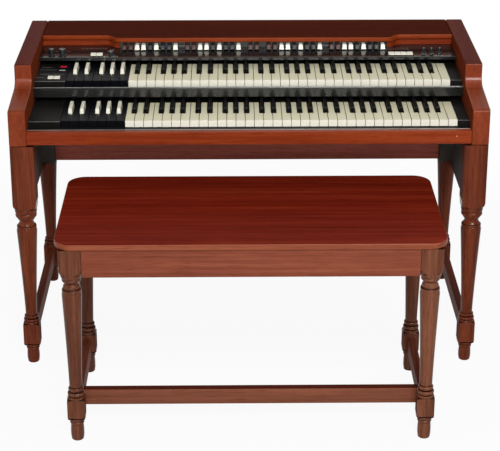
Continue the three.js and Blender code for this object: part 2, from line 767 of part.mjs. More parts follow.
// Turned legs
function legCore(turning, top) {
  const core = turning.lowBlock / 2 * legCoreShare;
  return [[0, 0], [turning.footRadius, 0], [turning.footRadius, turning.footHeight],
    [turning.ringRadius, turning.footHeight], [turning.ringRadius, turning.ringTop],
    [core, turning.ringTop], [core, turning.lowBlockTop],
    [turning.collarRadius, turning.lowBlockTop], [turning.collarRadius, turning.collarTop],
    [turning.shaftRadius, turning.collarTop], ...top];
}

function legBlock(width, bottom, top) {
  return block(-width / 2, width / 2, -width / 2, width / 2, bottom, top);
}

function turnedLeg(turning, top) {
  const blockBottom = top - turning.blockDrop;
  const profile = legCore(turning, [[turning.bulbRadius, top - turning.bulbDrop],
    [turning.shoulderRadius, top - (turning.bulbDrop + turning.neckDrop) / 2],
    [turning.neckRadius, top - turning.neckDrop], [turning.beadRadius, top - turning.beadDrop],
    [turning.neckRadius, blockBottom], [turning.neckRadius, top - cutOverrun],
    [0, top - cutOverrun]]);
  return join([turned(profile, legFacets), legBlock(turning.lowBlock, turning.ringTop, turning.lowBlockTop),
    legBlock(turning.block, blockBottom, top)]);
}

function socketLeg(turning, top) {
  const profile = legCore(turning, [[turning.bulbRadius, top], [0, top]]);
  return join([turned(profile, legFacets), legBlock(turning.lowBlock, turning.ringTop, turning.lowBlockTop)]);
}

const sides = [{ name: 'left', sign: -1 }, { name: 'right', sign: 1 }];

// The steel rail along a side deepens from the front leg's block towards the rear socket
function sideRailShape(front, socketFront, top) {
  const back = socketFront + cutOverrun;
  const joinBottom = top - socketLength + cutOverrun;
  const frontBottom = top - sideRailFrontDrop;
  const rearBottom = top - sideRailRearDrop;
  return outline([[front, frontBottom], [front + sideRailTaper, rearBottom],
    [socketFront, rearBottom], [socketFront, joinBottom], [back, joinBottom], [back, top], [front, top]]);
}

function addConsoleLegs() {
  const legTop = caseUnderside - seatGap;
  const railFront = consoleFrontLegDepth + consoleLegTurning.block / 2 + seatGap;
  const railInner = caseWidth / 2 - sideRailInset;
  const socketFront = consoleRearLegDepth - socketWidth / 2;
  const socketBottom = legTop - socketLength;
  const stretcherFront = consoleFrontLegDepth + consoleLegTurning.lowBlock / 2 + seatGap;
  const stretcherBack = consoleRearLegDepth - consoleLegTurning.lowBlock / 2 - seatGap;
  sides.forEach(({ name, sign }) => {
    const x = sign * consoleLegX;
    const front = addPiece(`front_${name}_leg`, turnedLeg(consoleLegTurning, legTop), 'wood');
    front.position.set(x, consoleFrontLegDepth, 0);
    const rear = addPiece(`rear_${name}_leg`, socketLeg(consoleLegTurning, socketBottom - seatGap), 'wood');
    rear.position.set(x, consoleRearLegDepth, 0);
    const railEdges = [sign * railInner, sign * (railInner + sideRailThickness)].sort((a, b) => a - b);
    const rail = acrossX(sideRailShape(railFront, socketFront, legTop), ...railEdges);
    const socket = block(x - socketWidth / 2, x + socketWidth / 2, socketFront, socketFront + socketWidth,
      socketBottom, legTop);
    addPiece(`${name}_side_frame`, join([rail, socket]), 'blackSteel');
    addPiece(`${name}_stretcher`, block(x - stretcherThickness / 2, x + stretcherThickness / 2,
      stretcherFront, stretcherBack, stretcherBottom, stretcherBottom + stretcherHeight), 'wood');
  });
  const apronHalf = consoleLegX - socketWidth / 2 - seatGap;
  const apronFront = consoleRearLegDepth - rearApronInset;
  addPiece('rear_apron', block(-apronHalf, apronHalf, apronFront, apronFront + boardThickness,
    legTop - rearApronDrop, legTop), 'darkWood');
}

// Bench
function addBenchTop() {
  const half = benchWidth / 2;
  const back = benchFront + benchDepth;
  const inner = half - benchCorner;
  const shape = new THREE.Shape();
  shape.moveTo(-inner, benchFront);
  shape.lineTo(inner, benchFront);
  shape.absarc(inner, benchFront + benchCorner, benchCorner, -Math.PI / 2, 0, false);
  shape.absarc(inner, back - benchCorner, benchCorner, 0, Math.PI / 2, false);
  shape.absarc(-inner, back - benchCorner, benchCorner, Math.PI / 2, Math.PI, false);
  shape.absarc(-inner, benchFront + benchCorner, benchCorner, Math.PI, 3 * Math.PI / 2, false);
  addPiece('bench_top', upZ(shape, benchHeight - benchTopThickness, benchHeight), 'benchWood');
}

function addBenchFrame() {
  const legTop = benchHeight - benchTopThickness - seatGap;
  const apronBottom = legTop - benchApronDrop;
  const turning = benchLegTurning;
  const rows = [{ name: 'front', depth: benchFrontLegDepth }, { name: 'rear', depth: benchRearLegDepth }];
  rows.forEach((row) => sides.forEach(({ name, sign }) => {
    const leg = addPiece(`bench_${row.name}_${name}_leg`, turnedLeg(turning, legTop), 'wood');
    leg.position.set(sign * benchLegX, row.depth, 0);
  }));
  const apronHalf = benchLegX - turning.block / 2 - seatGap;
  const outerFront = benchFrontLegDepth - turning.block / 2 + benchApronInset;
  const outerBack = benchRearLegDepth + turning.block / 2 - benchApronInset;
  addPiece('bench_front_apron', block(-apronHalf, apronHalf, outerFront, outerFront + boardThickness,
    apronBottom, legTop), 'wood');
  addPiece('bench_rear_apron', block(-apronHalf, apronHalf, outerBack - boardThickness, outerBack,
    apronBottom, legTop), 'wood');
  const apronFront = benchFrontLegDepth + turning.block / 2 + seatGap;
  const apronBack = benchRearLegDepth - turning.block / 2 - seatGap;
  const stretcherFront = benchFrontLegDepth + turning.lowBlock / 2 + seatGap;
  const stretcherBack = benchRearLegDepth - turning.lowBlock / 2 - seatGap;
  const stretcherTop = benchStretcherBottom + stretcherHeight;
  const apronOuter = benchLegX + turning.block / 2 - benchApronInset;
  sides.forEach(({ name, sign }) => {
    const x = sign * benchLegX;
    const edges = [sign * (apronOuter - boardThickness), sign * apronOuter].sort((a, b) => a - b);
    addPiece(`bench_${name}_apron`, block(...edges, apronFront, apronBack, apronBottom, legTop), 'wood');
    addPiece(`bench_${name}_stretcher`, block(x - stretcherThickness / 2, x + stretcherThickness / 2,
      stretcherFront, stretcherBack, benchStretcherBottom, stretcherTop), 'wood');
  });
  const longHalf = benchLegX - stretcherThickness / 2 - seatGap;
  const longFront = benchFrontLegDepth + benchLowRailSetback;
  addPiece('bench_long_stretcher', block(-longHalf, longHalf, longFront, longFront + stretcherThickness,
    benchStretcherBottom, stretcherTop), 'wood');
}

addCheeks();
addLid();
addUpperRail();
addCaseBoards();
addManualFrames();
addManual('lower', lowerKeyFront, lowerKeyTop);
addManual('upper', upperKeyFront, upperKeyTop);
addFascia();
addShelf();
addDrawbarPanel();
addDrawbars();
addKnobs();
addTabs();
addGenerator();
addMotor();
addAmplifier();
addInlet();
addConsoleLegs();
addBenchTop();
addBenchFrame();
organ.position.y = -originDepth;

export default organ;
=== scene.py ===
"""Looks of a two-manual console organ and its bench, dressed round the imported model."""

import json
import logging
import math
from dataclasses import dataclass, field
from enum import Enum
from typing import Any, Callable, Dict, List, Optional, Sequence, Tuple, Union

import bmesh
import bpy
from mathutils import Matrix, Vector


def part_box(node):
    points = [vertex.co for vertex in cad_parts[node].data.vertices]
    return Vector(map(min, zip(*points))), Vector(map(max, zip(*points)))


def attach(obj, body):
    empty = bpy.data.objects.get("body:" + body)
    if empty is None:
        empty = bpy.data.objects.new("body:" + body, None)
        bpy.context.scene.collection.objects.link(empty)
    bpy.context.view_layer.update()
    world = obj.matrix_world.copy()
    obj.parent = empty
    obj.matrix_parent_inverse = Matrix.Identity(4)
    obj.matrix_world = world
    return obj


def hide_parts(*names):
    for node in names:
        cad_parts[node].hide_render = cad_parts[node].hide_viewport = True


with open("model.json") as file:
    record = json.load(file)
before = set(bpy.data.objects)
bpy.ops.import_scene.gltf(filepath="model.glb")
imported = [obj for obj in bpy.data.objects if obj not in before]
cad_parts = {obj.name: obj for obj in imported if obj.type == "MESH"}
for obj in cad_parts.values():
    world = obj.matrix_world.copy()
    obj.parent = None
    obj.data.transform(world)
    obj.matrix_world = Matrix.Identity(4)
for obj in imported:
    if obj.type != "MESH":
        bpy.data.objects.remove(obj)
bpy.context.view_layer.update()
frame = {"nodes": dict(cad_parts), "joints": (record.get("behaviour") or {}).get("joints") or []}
LOG = logging.getLogger("console_organ")
MM = 0.001
CONSOLE = "console"
BENCH = "bench"
SIDES = ("left", "right")
CORNERS = tuple(f"{row}_{side}" for row in ("front", "rear") for side in SIDES)
Pair = Tuple[float, float]
Triple = Tuple[float, float, float]
Colour = Triple
Number = Union[float, "Signal"]
Test = Callable[[Any], bool]
WHITE: Colour = (1.0, 1.0, 1.0)
CLOUD_STOPS = (0.3, 0.7)


class Grain(Enum):
    """The way a board's grain runs."""

    ALONG_X = (0.035, 1.0, 1.0)
    ALONG_Y = (1.0, 0.035, 1.0)
    ALONG_Z = (1.0, 1.0, 0.035)
    CHEEK = (1.0, 0.05, 0.4)
    TABLE = (0.022, 1.0, 1.0)


class Signal:
    """A shader socket whose arithmetic adds Math nodes."""

    def __init__(self, shader: "Shader", socket: Any) -> None:
        """Wrap a socket.

        Args:
            shader: the shader that the socket belongs to.
            socket: an output socket.
        """
        self.shader = shader
        self.socket = socket

    def joined(self, operation: str, other: Number) -> "Signal":
        """Return this and another signal or number joined by a Math operation."""
        return self.shader.value("ShaderNodeMath", {"operation": operation}, {0: self, 1: other})

    def __add__(self, other: Number) -> "Signal":
        """Add a number or signal."""
        return self.joined("ADD", other)

    def __sub__(self, other: Number) -> "Signal":
        """Take a number or signal away."""
        return self.joined("SUBTRACT", other)

    def __mul__(self, other: Number) -> "Signal":
        """Multiply by a number or signal."""
        return self.joined("MULTIPLY", other)


class Shader:
    """The node tree of a material or world under construction."""

    def __init__(self, owner: Any) -> None:
        """Empty a new owner's node tree.

        Args:
            owner: the material or world.
        """
        owner.use_nodes = True
        self.owner = owner
        self.tree = owner.node_tree
        self.tree.nodes.clear()

    def node(self, kind: str, settings: Optional[Dict[str, Any]] = None,
             inputs: Optional[Dict[Any, Any]] = None) -> Any:
        """Add a node.

        Args:
            kind: the node's type.
            settings: properties set first.
            inputs: values or signals by socket name or number.

        Returns:
            The new node.
        """
        made = self.tree.nodes.new(kind)
        for key, setting in (settings or {}).items():
            setattr(made, key, setting)
        for key, given in (inputs or {}).items():
            if isinstance(given, Signal):
                self.tree.links.new(given.socket, made.inputs[key])
            else:
                made.inputs[key].default_value = given
        return made

    def value(self, kind: str, settings: Optional[Dict[str, Any]] = None,
              inputs: Optional[Dict[Any, Any]] = None, output: Any = 0) -> Signal:
        """Add a node and return one of its outputs as a signal."""
        return Signal(self, self.node(kind, settings, inputs).outputs[output])

    def place(self) -> Signal:
        """Return the Object coordinates."""
        return self.value("ShaderNodeTexCoord", output="Object")

    def stretched(self, scale: Sequence[float], seed: float = 0.0) -> Signal:
        """Return Object coordinates stretched by a scale and moved by a seed."""
        return self.value("ShaderNodeMapping", {"vector_type": "POINT"},
                          {"Vector": self.place(), "Scale": tuple(scale), "Location": (seed,) * 3})

    def noise(self, place: Signal, scale: float, detail: float = 4.0, distortion: float = 0.0) -> Signal:
        """Return a noise pattern's strength at a place."""
        return self.value("ShaderNodeTexNoise", None, {
            "Vector": place, "Scale": scale, "Detail": detail, "Roughness": 0.55,
            "Distortion": distortion})

    def ramp(self, factor: Signal, stops: Sequence[Tuple[float, Colour]]) -> Signal:
        """Return the colour of a ramp at a factor.

        Args:
            factor: where on the ramp.
            stops: pairs of place and colour.

        Returns:
            The colour signal.
        """
        made = self.node("ShaderNodeValToRGB", None, {"Fac": factor})
        elements = made.color_ramp.elements
        while len(elements) < len(stops):
            elements.new(1.0)
        for element, (where, colour) in zip(elements, stops):
            element.position = where
            element.color = (*colour, 1.0)
        return Signal(self, made.outputs["Color"])

    def clouded(self, scale: float, detail: float, shade: Colour, colour: Colour) -> Signal:
        """Return a colour with clouds of another shade."""
        cloud = self.noise(self.place(), scale, detail)
        return self.ramp(cloud, list(zip(CLOUD_STOPS, (shade, colour))))

    def multiplied(self, first: Signal, second: Signal) -> Signal:
        """Return two colours multiplied."""
        made = self.node("ShaderNodeMix", {"data_type": "RGBA", "blend_type": "MULTIPLY"},
                         {0: 1.0, 6: first, 7: second})
        return Signal(self, made.outputs[2])

    def bump(self, height: Signal, strength: float, distance: float) -> Signal:
        """Return a normal bent by a height."""
        return self.value("ShaderNodeBump", None, {
            "Height": height, "Strength": strength, "Distance": distance}, "Normal")

    def shown(self) -> Signal:
        """Return 1 where a camera, glossy or transmission ray looks."""
        path = self.node("ShaderNodeLightPath")
        camera, glossy, through = (Signal(self, path.outputs[f"Is {kind} Ray"])
                                   for kind in ("Camera", "Glossy", "Transmission"))
        return camera.joined("MAXIMUM", glossy).joined("MAXIMUM", through)

    def surface(self, **sockets: Any) -> bpy.types.Material:
        """Finish with a Principled surface.

        Args:
            sockets: values or signals by socket name, with _ for a space.

        Returns:
            The finished material.
        """
        named = {key.replace("_", " "): given for key, given in sockets.items()}
        shade = self.value("ShaderNodeBsdfPrincipled", None, named)
        self.node("ShaderNodeOutputMaterial", None, {"Surface": shade})
        return self.owner


@dataclass(frozen=True)
class Finish:
    """A surface finish; each kind draws its own material."""

    name: str
    slot: str

    def draw(self, shader: Shader) -> bpy.types.Material:
        """Draw the material in a shader and return it."""
        raise NotImplementedError

    def material(self) -> bpy.types.Material:
        """Return the material, drawn once."""
        known = bpy.data.materials.get(self.name)
        return known if known else self.draw(Shader(bpy.data.materials.new(self.name)))


@dataclass(frozen=True)
class Lacquer(Finish):
    """Lacquered wood with fine dark pores and soft bands of colour."""

    grain: Grain
    deep: Colour
    middle: Colour
    light: Colour
    roughness: float = 0.3
    gloss: float = 0.2
    seed: float = 0.0
    contrast: float = 1.0
    cloud_scale: float = 2.5
    band_scale: float = 26.0
    streak_scale: float = 130.0
    pore_scale: float = 700.0
    pore_tint: Colour = (0.70, 0.60, 0.55)
    pore_stops: Pair = (0.34, 0.46)
    shares: Triple = (0.45, 0.45, 0.1)
    stops: Triple = (0.34, 0.5, 0.66)
    swing: float = 0.12
    strength: float = 0.08
    relief: float = 0.4 * MM

    def draw(self, shader: Shader) -> bpy.types.Material:
        """Return the wood."""
        place = shader.stretched(self.grain.value, self.seed)
        cloud = shader.noise(shader.stretched((1.0, 1.0, 1.0), self.seed), self.cloud_scale, 2.0)
        bands = shader.noise(place, self.band_scale, 5.0, 0.6)
        streaks = shader.noise(place, self.streak_scale, 3.0, 0.3)
        pores = shader.noise(place, self.pore_scale, 2.0)
        banded, streaked, clouded = self.shares
        tone = (bands * banded + streaks * streaked + cloud * clouded - 0.5) * self.contrast + 0.5
        colour = shader.ramp(tone, list(zip(self.stops, (self.deep, self.middle, self.light))))
        pitted = shader.ramp(pores, list(zip(self.pore_stops, (self.pore_tint, WHITE))))
        return shader.surface(
            Base_Color=shader.multiplied(colour, pitted),
            Roughness=streaks * self.swing + (self.roughness - self.swing / 2),
            Specular_IOR_Level=self.gloss,
            Normal=shader.bump(pores * 0.6 + streaks * 0.4, self.strength, self.relief))


@dataclass(frozen=True)
class Moulded(Finish):
    """Moulded plastic with a faint cloud and orange peel."""

    colour: Colour
    shade: Colour
    roughness: float = 0.3
    gloss: float = 0.5
    peel: float = 0.02
    cloud_scale: float = 22.0
    peel_scale: float = 900.0
    swing: float = 0.08
    relief: float = 0.2 * MM

    def draw(self, shader: Shader) -> bpy.types.Material:
        """Return the plastic."""
        cloud = shader.noise(shader.place(), self.cloud_scale, 3.0)
        fine = shader.noise(shader.place(), self.peel_scale, 2.0)
        colour = shader.ramp(cloud, [(0.35, self.shade), (0.65, self.colour)])
        return shader.surface(
            Base_Color=colour, Roughness=cloud * self.swing + (self.roughness - self.swing / 2),
            Specular_IOR_Level=self.gloss, Normal=shader.bump(fine, self.peel, self.relief))


@dataclass(frozen=True)
class Enamel(Finish):
    """Black or grey enamel on sheet metal, with wiped streaks in the gloss."""

    colour: Colour
    roughness: float = 0.28
    metallic: float = 0.0
    gloss: float = 0.5
    wipe: Triple = (0.4, 1.0, 1.0)
    wipe_scale: float = 14.0
    paler: Pair = (1.35, 0.004)
    swing: float = 0.12
    polish: float = 0.05
    peel: float = 0.04
    peel_scale: float = 1400.0
    relief: float = 0.2 * MM

    def draw(self, shader: Shader) -> bpy.types.Material:
        """Return the enamel."""
        wipe = shader.noise(shader.stretched(self.wipe), self.wipe_scale, 5.0, 0.4)
        fine = shader.noise(shader.place(), self.peel_scale, 2.0)
        gain, lift = self.paler
        paler = tuple(min(1.0, part * gain + lift) for part in self.colour)
        colour = shader.ramp(wipe, [(0.3, self.colour), (0.75, paler)])
        return shader.surface(
            Base_Color=colour, Roughness=wipe * self.swing + (self.roughness - self.polish),
            Metallic=self.metallic, Specular_IOR_Level=self.gloss,
            Normal=shader.bump(fine, self.peel, self.relief))


@dataclass(frozen=True)
class Metal(Finish):
    """Brushed or plated metal."""

    colour: Colour
    roughness: float = 0.3
    brush: Triple = (0.02, 1.0, 1.0)
    brush_scale: float = 900.0
    cloud_scale: float = 30.0
    darker: float = 0.78
    swing: float = 0.2
    strength: float = 0.1
    relief: float = 0.2 * MM

    def draw(self, shader: Shader) -> bpy.types.Material:
        """Return the metal."""
        lines = shader.noise(shader.stretched(self.brush), self.brush_scale, 3.0)
        darker = tuple(part * self.darker for part in self.colour)
        return shader.surface(
            Base_Color=shader.clouded(self.cloud_scale, 3.0, darker, self.colour), Metallic=1.0,
            Roughness=lines * self.swing + (self.roughness - self.swing / 2),
            Normal=shader.bump(lines, self.strength, self.relief))


@dataclass(frozen=True)
class Lamp(Finish):
    """A small lit lens."""

    colour: Colour
    strength: float = 1.0
    cloud_scale: float = 300.0
    darker: float = 0.8
    roughness: float = 0.2

    def draw(self, shader: Shader) -> bpy.types.Material:
        """Return the lens."""
        darker = tuple(part * self.darker for part in self.colour)
        colour = shader.clouded(self.cloud_scale, 2.0, darker, self.colour)
        return shader.surface(
            Base_Color=colour, Roughness=self.roughness, Emission_Color=colour,
            Emission_Strength=self.strength)


CHEEK_WOOD = Lacquer(
    "cheek_walnut", "walnut", Grain.CHEEK, (0.138, 0.023, 0.008), (0.208, 0.037, 0.0115), (0.28, 0.056, 0.02),
    roughness=0.34, gloss=0.08, seed=1.7, contrast=0.8)
# Painted highlight: a lighter copy of the cheek wood, with more gloss, for the faces of each cheek's hollow
# curve, where the lamps' highlight falls.
CHEEK_HOLLOW_LIT = Lacquer(
    "cheek_hollow_painted_highlight_walnut", "walnut", Grain.CHEEK, (0.155, 0.026, 0.009), (0.232, 0.041, 0.013),
    (0.31, 0.062, 0.022), roughness=0.36, gloss=0.3, seed=1.7, contrast=0.8)
# Painted shade: a much darker copy of the cheek wood for the cheeks' up-facing tops, which the frontal lamps
# light less.
CHEEK_TOP_SHADED = Lacquer(
    "cheek_top_painted_shade_walnut", "walnut", Grain.ALONG_Y, (0.066, 0.009, 0.0045), (0.1, 0.014, 0.007),
    (0.14, 0.022, 0.011), roughness=0.42, gloss=0.01, seed=8.2)
LEG_WOOD = Lacquer(
    "leg_walnut", "walnut", Grain.ALONG_Z, (0.072, 0.014, 0.005), (0.132, 0.028, 0.011), (0.21, 0.049, 0.02),
    roughness=0.18, gloss=0.07, seed=4.1)
# Painted shade: a darker, matt copy of the leg wood for the left and right faces of the legs' square blocks.
LEG_SIDE_SHADED = Lacquer(
    "side_painted_shade_walnut", "walnut", Grain.ALONG_Z, (0.07, 0.012, 0.004), (0.115, 0.021, 0.007),
    (0.165, 0.034, 0.012), roughness=0.5, gloss=0.005, seed=4.3)
# Painted shade: a much darker copy of the leg wood for the legs' steep up- and down-facing faces, chiefly the
# flanks of beads and grooves.
LEG_FLANK_SHADE = Lacquer(
    "leg_flank_painted_shade_walnut", "walnut", Grain.ALONG_Z, (0.022, 0.005, 0.0025), (0.036, 0.009, 0.004),
    (0.055, 0.014, 0.007), roughness=0.3, gloss=0.05, seed=4.9)
# Painted shade: a slightly darker, less glossy copy of the cheek wood for the cheeks' side faces; its
# lengthwise grain is the wood's own.
CHEEK_SIDE_SHADED = Lacquer(
    "cheek_side_walnut", "walnut", Grain.ALONG_Y, (0.12, 0.02, 0.007), (0.18, 0.032, 0.01),
    (0.245, 0.049, 0.017), roughness=0.5, gloss=0.008, seed=1.9, contrast=0.8)
BENCH_LEG_WOOD = Lacquer(
    "bench_leg_walnut", "walnut", Grain.ALONG_Z, (0.062, 0.019, 0.009), (0.118, 0.038, 0.019),
    (0.195, 0.07, 0.036), roughness=0.18, gloss=0.09, seed=4.7)
RAIL_WOOD = Lacquer(
    "rail_walnut", "walnut", Grain.ALONG_X, (0.15, 0.018, 0.004), (0.22, 0.03, 0.0065), (0.31, 0.052, 0.013),
    roughness=0.28, gloss=0.08, seed=7.3, contrast=0.8)
# Painted light: a lighter copy of the lid wood for the lid's front-facing edges.
LID_EDGE_LIT = Lacquer(
    "lid_edge_painted_light_walnut", "dark_walnut", Grain.ALONG_X, (0.19, 0.026, 0.005), (0.255, 0.039, 0.007),
    (0.33, 0.058, 0.013), roughness=0.3, gloss=0.08, seed=6.6, contrast=0.7)
STRETCHER_WOOD = Lacquer(
    "stretcher_walnut", "walnut", Grain.ALONG_Y, (0.08, 0.021, 0.012), (0.14, 0.036, 0.02),
    (0.21, 0.06, 0.032), roughness=0.45, gloss=0.01, seed=2.9)
# Painted shade: the lid's top and remaining faces are painted much darker than its front edges.
LID_WOOD = Lacquer(
    "lid_walnut", "dark_walnut", Grain.TABLE, (0.046, 0.0055, 0.0012), (0.067, 0.0085, 0.0018),
    (0.094, 0.0138, 0.0032), roughness=0.45, gloss=0.002, seed=5.5)
APRON_WOOD = Lacquer(
    "apron_walnut", "dark_walnut", Grain.ALONG_X, (0.11, 0.026, 0.018), (0.165, 0.04, 0.029),
    (0.22, 0.06, 0.042), roughness=0.42, gloss=0.04, seed=9.4)
# Painted shade: the seat's top is painted darker than its edges.
BENCH_WOOD = Lacquer(
    "bench_walnut", "bench_wood", Grain.TABLE, (0.098, 0.0066, 0.0026), (0.165, 0.014, 0.0052),
    (0.25, 0.031, 0.011), roughness=0.36, gloss=0.01, seed=3.3, contrast=0.9)
# Painted light: a lighter copy of the seat wood for the seat's edges and sides.
BENCH_EDGE_LIT = Lacquer(
    "bench_edge_painted_light_walnut", "bench_wood", Grain.TABLE, (0.17, 0.04, 0.019), (0.235, 0.062, 0.03),
    (0.31, 0.092, 0.048), roughness=0.32, gloss=0.06, seed=3.9)
BENCH_RAIL = Lacquer(
    "bench_rail_walnut", "walnut", Grain.TABLE, (0.135, 0.031, 0.016), (0.195, 0.051, 0.027),
    (0.265, 0.078, 0.042), roughness=0.34, gloss=0.06, seed=6.2)
LOW_RAIL = Lacquer(
    "low_rail_walnut", "walnut", Grain.TABLE, (0.11, 0.031, 0.016), (0.165, 0.053, 0.028),
    (0.23, 0.076, 0.042), roughness=0.3, gloss=0.08, seed=6.8)
# Painted shade: a darker copy of the low rail's wood for its up-facing top.
LOW_RAIL_TOP_SHADED = Lacquer(
    "low_rail_top_painted_shade_walnut", "walnut", Grain.TABLE, (0.05, 0.01, 0.005), (0.08, 0.016, 0.008),
    (0.11, 0.024, 0.012), roughness=0.3, gloss=0.01, seed=6.9)
REAR_APRON = Lacquer(
    "rear_apron_walnut", "dark_walnut", Grain.ALONG_X, (0.22, 0.054, 0.036), (0.31, 0.082, 0.056),
    (0.4, 0.115, 0.08), roughness=0.42, gloss=0.04, seed=9.8, contrast=0.7)
IVORY = Moulded("ivory_key", "ivory", (0.79, 0.745, 0.53), (0.765, 0.72, 0.505), 0.32, 0.2)
# Painted light: a lighter copy of the ivory for the naturals' front faces, which face the lamps.
IVORY_FRONT_LIT = Moulded("ivory_key_front_painted_light", "ivory", (0.86, 0.82, 0.7), (0.84, 0.8, 0.68), 0.35, 0.2)
# Painted shade: near-black side faces on the naturals, which draw the slits between keys as shade.
KEY_SIDE_SHADE = Moulded("key_side_painted_shade", "ivory", (0.09, 0.082, 0.06), (0.075, 0.068, 0.05), 0.5, 0.05)
WHITE_SHARP = Moulded("white_preset_key", "ivory", (0.82, 0.785, 0.64), (0.8, 0.765, 0.62), 0.28, 0.3)
EBONY = Moulded("ebony_key", "ebony", (0.0045, 0.0043, 0.004), (0.0032, 0.0031, 0.0029), 0.35, 0.01)
# Painted highlight: a lighter ebony with full gloss for the sharps' front-top bevels; the gloss is real, the
# lighter colour is painted.
EBONY_EDGE_HIGHLIGHT = Moulded("ebony_edge_painted_highlight", "ebony", (0.05, 0.048, 0.044), (0.04, 0.038, 0.035), 0.3, 1.0)
BLACK_PRESET = Moulded(
    "black_preset_key", "ebony", (0.0045, 0.0048, 0.0065), (0.0034, 0.0036, 0.0048), 0.3, 0.03)
PANEL = Enamel("black_panel_enamel", "black_panel", (0.0065, 0.0058, 0.0052), 0.4, gloss=0.04)
FASCIA = Enamel("fascia_enamel", "black_panel", (0.0065, 0.0065, 0.006), 0.13, gloss=0.5)
GLOSS_PANEL = Enamel("gloss_black_enamel", "black_panel", (0.006, 0.0058, 0.0055), 0.14, gloss=0.5)
MATT_PANEL = Enamel("matt_black_enamel", "black_panel", (0.0075, 0.007, 0.0062), 0.5, gloss=0.01)
SIDE_STEEL = Enamel("side_frame_enamel", "black_steel", (0.056, 0.0505, 0.0455), 0.5, gloss=0.008)
WHITE_CAP = Moulded("white_drawbar_cap", "drawbar_white", (0.9, 0.87, 0.74), (0.88, 0.845, 0.715), 0.25, 0.4)
BROWN_CAP = Moulded(
    "brown_drawbar_cap", "drawbar_brown", (0.06, 0.018, 0.012), (0.045, 0.013, 0.009), 0.35, 0.12)
BLACK_CAP = Moulded("black_drawbar_cap", "ebony", (0.01, 0.01, 0.01), (0.007, 0.007, 0.007), 0.35, 0.12)
CREAM = Moulded("cream_tab", "cream_tab", (0.85, 0.8, 0.62), (0.82, 0.77, 0.59), 0.3, 0.35)
KNOB_BLACK = Moulded("knob_black", "ebony", (0.014, 0.014, 0.014), (0.009, 0.009, 0.009), 0.35, 0.4)
TRIM = Metal("trim_aluminium", "bare_steel", (0.17, 0.174, 0.162), 0.4)
SHELF_TRIM = Metal("shelf_trim_aluminium", "bare_steel", (0.035, 0.035, 0.032), 0.45)
EDGE_TRIM = Metal("end_block_aluminium", "bare_steel", (0.12, 0.12, 0.112), 0.4)
PLATED = Metal("plated_steel", "bare_steel", (0.62, 0.62, 0.6), 0.3)
BRASS = Metal("brass_pin", "bare_steel", (0.45, 0.3, 0.12), 0.35)
MOTOR = Enamel("motor_enamel", "motor_paint", (0.03, 0.04, 0.046), 0.4, 0.2)
PRINT = Moulded("white_print", "cream_tab", (0.62, 0.61, 0.56), (0.58, 0.57, 0.52), 0.5, 0.2)
CAP_PRINT = Moulded("cap_print", "cream_tab", (0.21, 0.2, 0.18), (0.18, 0.17, 0.155), 0.5, 0.2)
DIM_PRINT = Moulded("dim_print", "cream_tab", (0.2, 0.19, 0.175), (0.16, 0.15, 0.14), 0.5, 0.2)
RED_LAMP = Lamp("red_lamp", "cream_tab", (0.8, 0.01, 0.05), 0.5)
WHITE_LAMP = Lamp("white_lamp", "cream_tab", (0.6, 0.61, 0.61), 0.15)


Accent = Tuple[Finish, Test]
LARGE_FACE = 300.0 * MM * MM
MERGE_REACH = 0.005 * MM
AXIS_REACH = 0.001 * MM
FLAT_ANGLE = math.radians(0.5)
SQUARE_EDGE = 60.0
SLOPED_EDGE = 50.0
UNMOVED = Matrix.Identity(4)


def linked(name: str, data: Any) -> Any:
    """Return a new object that stands in the scene."""
    made = bpy.data.objects.new(name, data)
    bpy.context.scene.collection.objects.link(made)
    return made


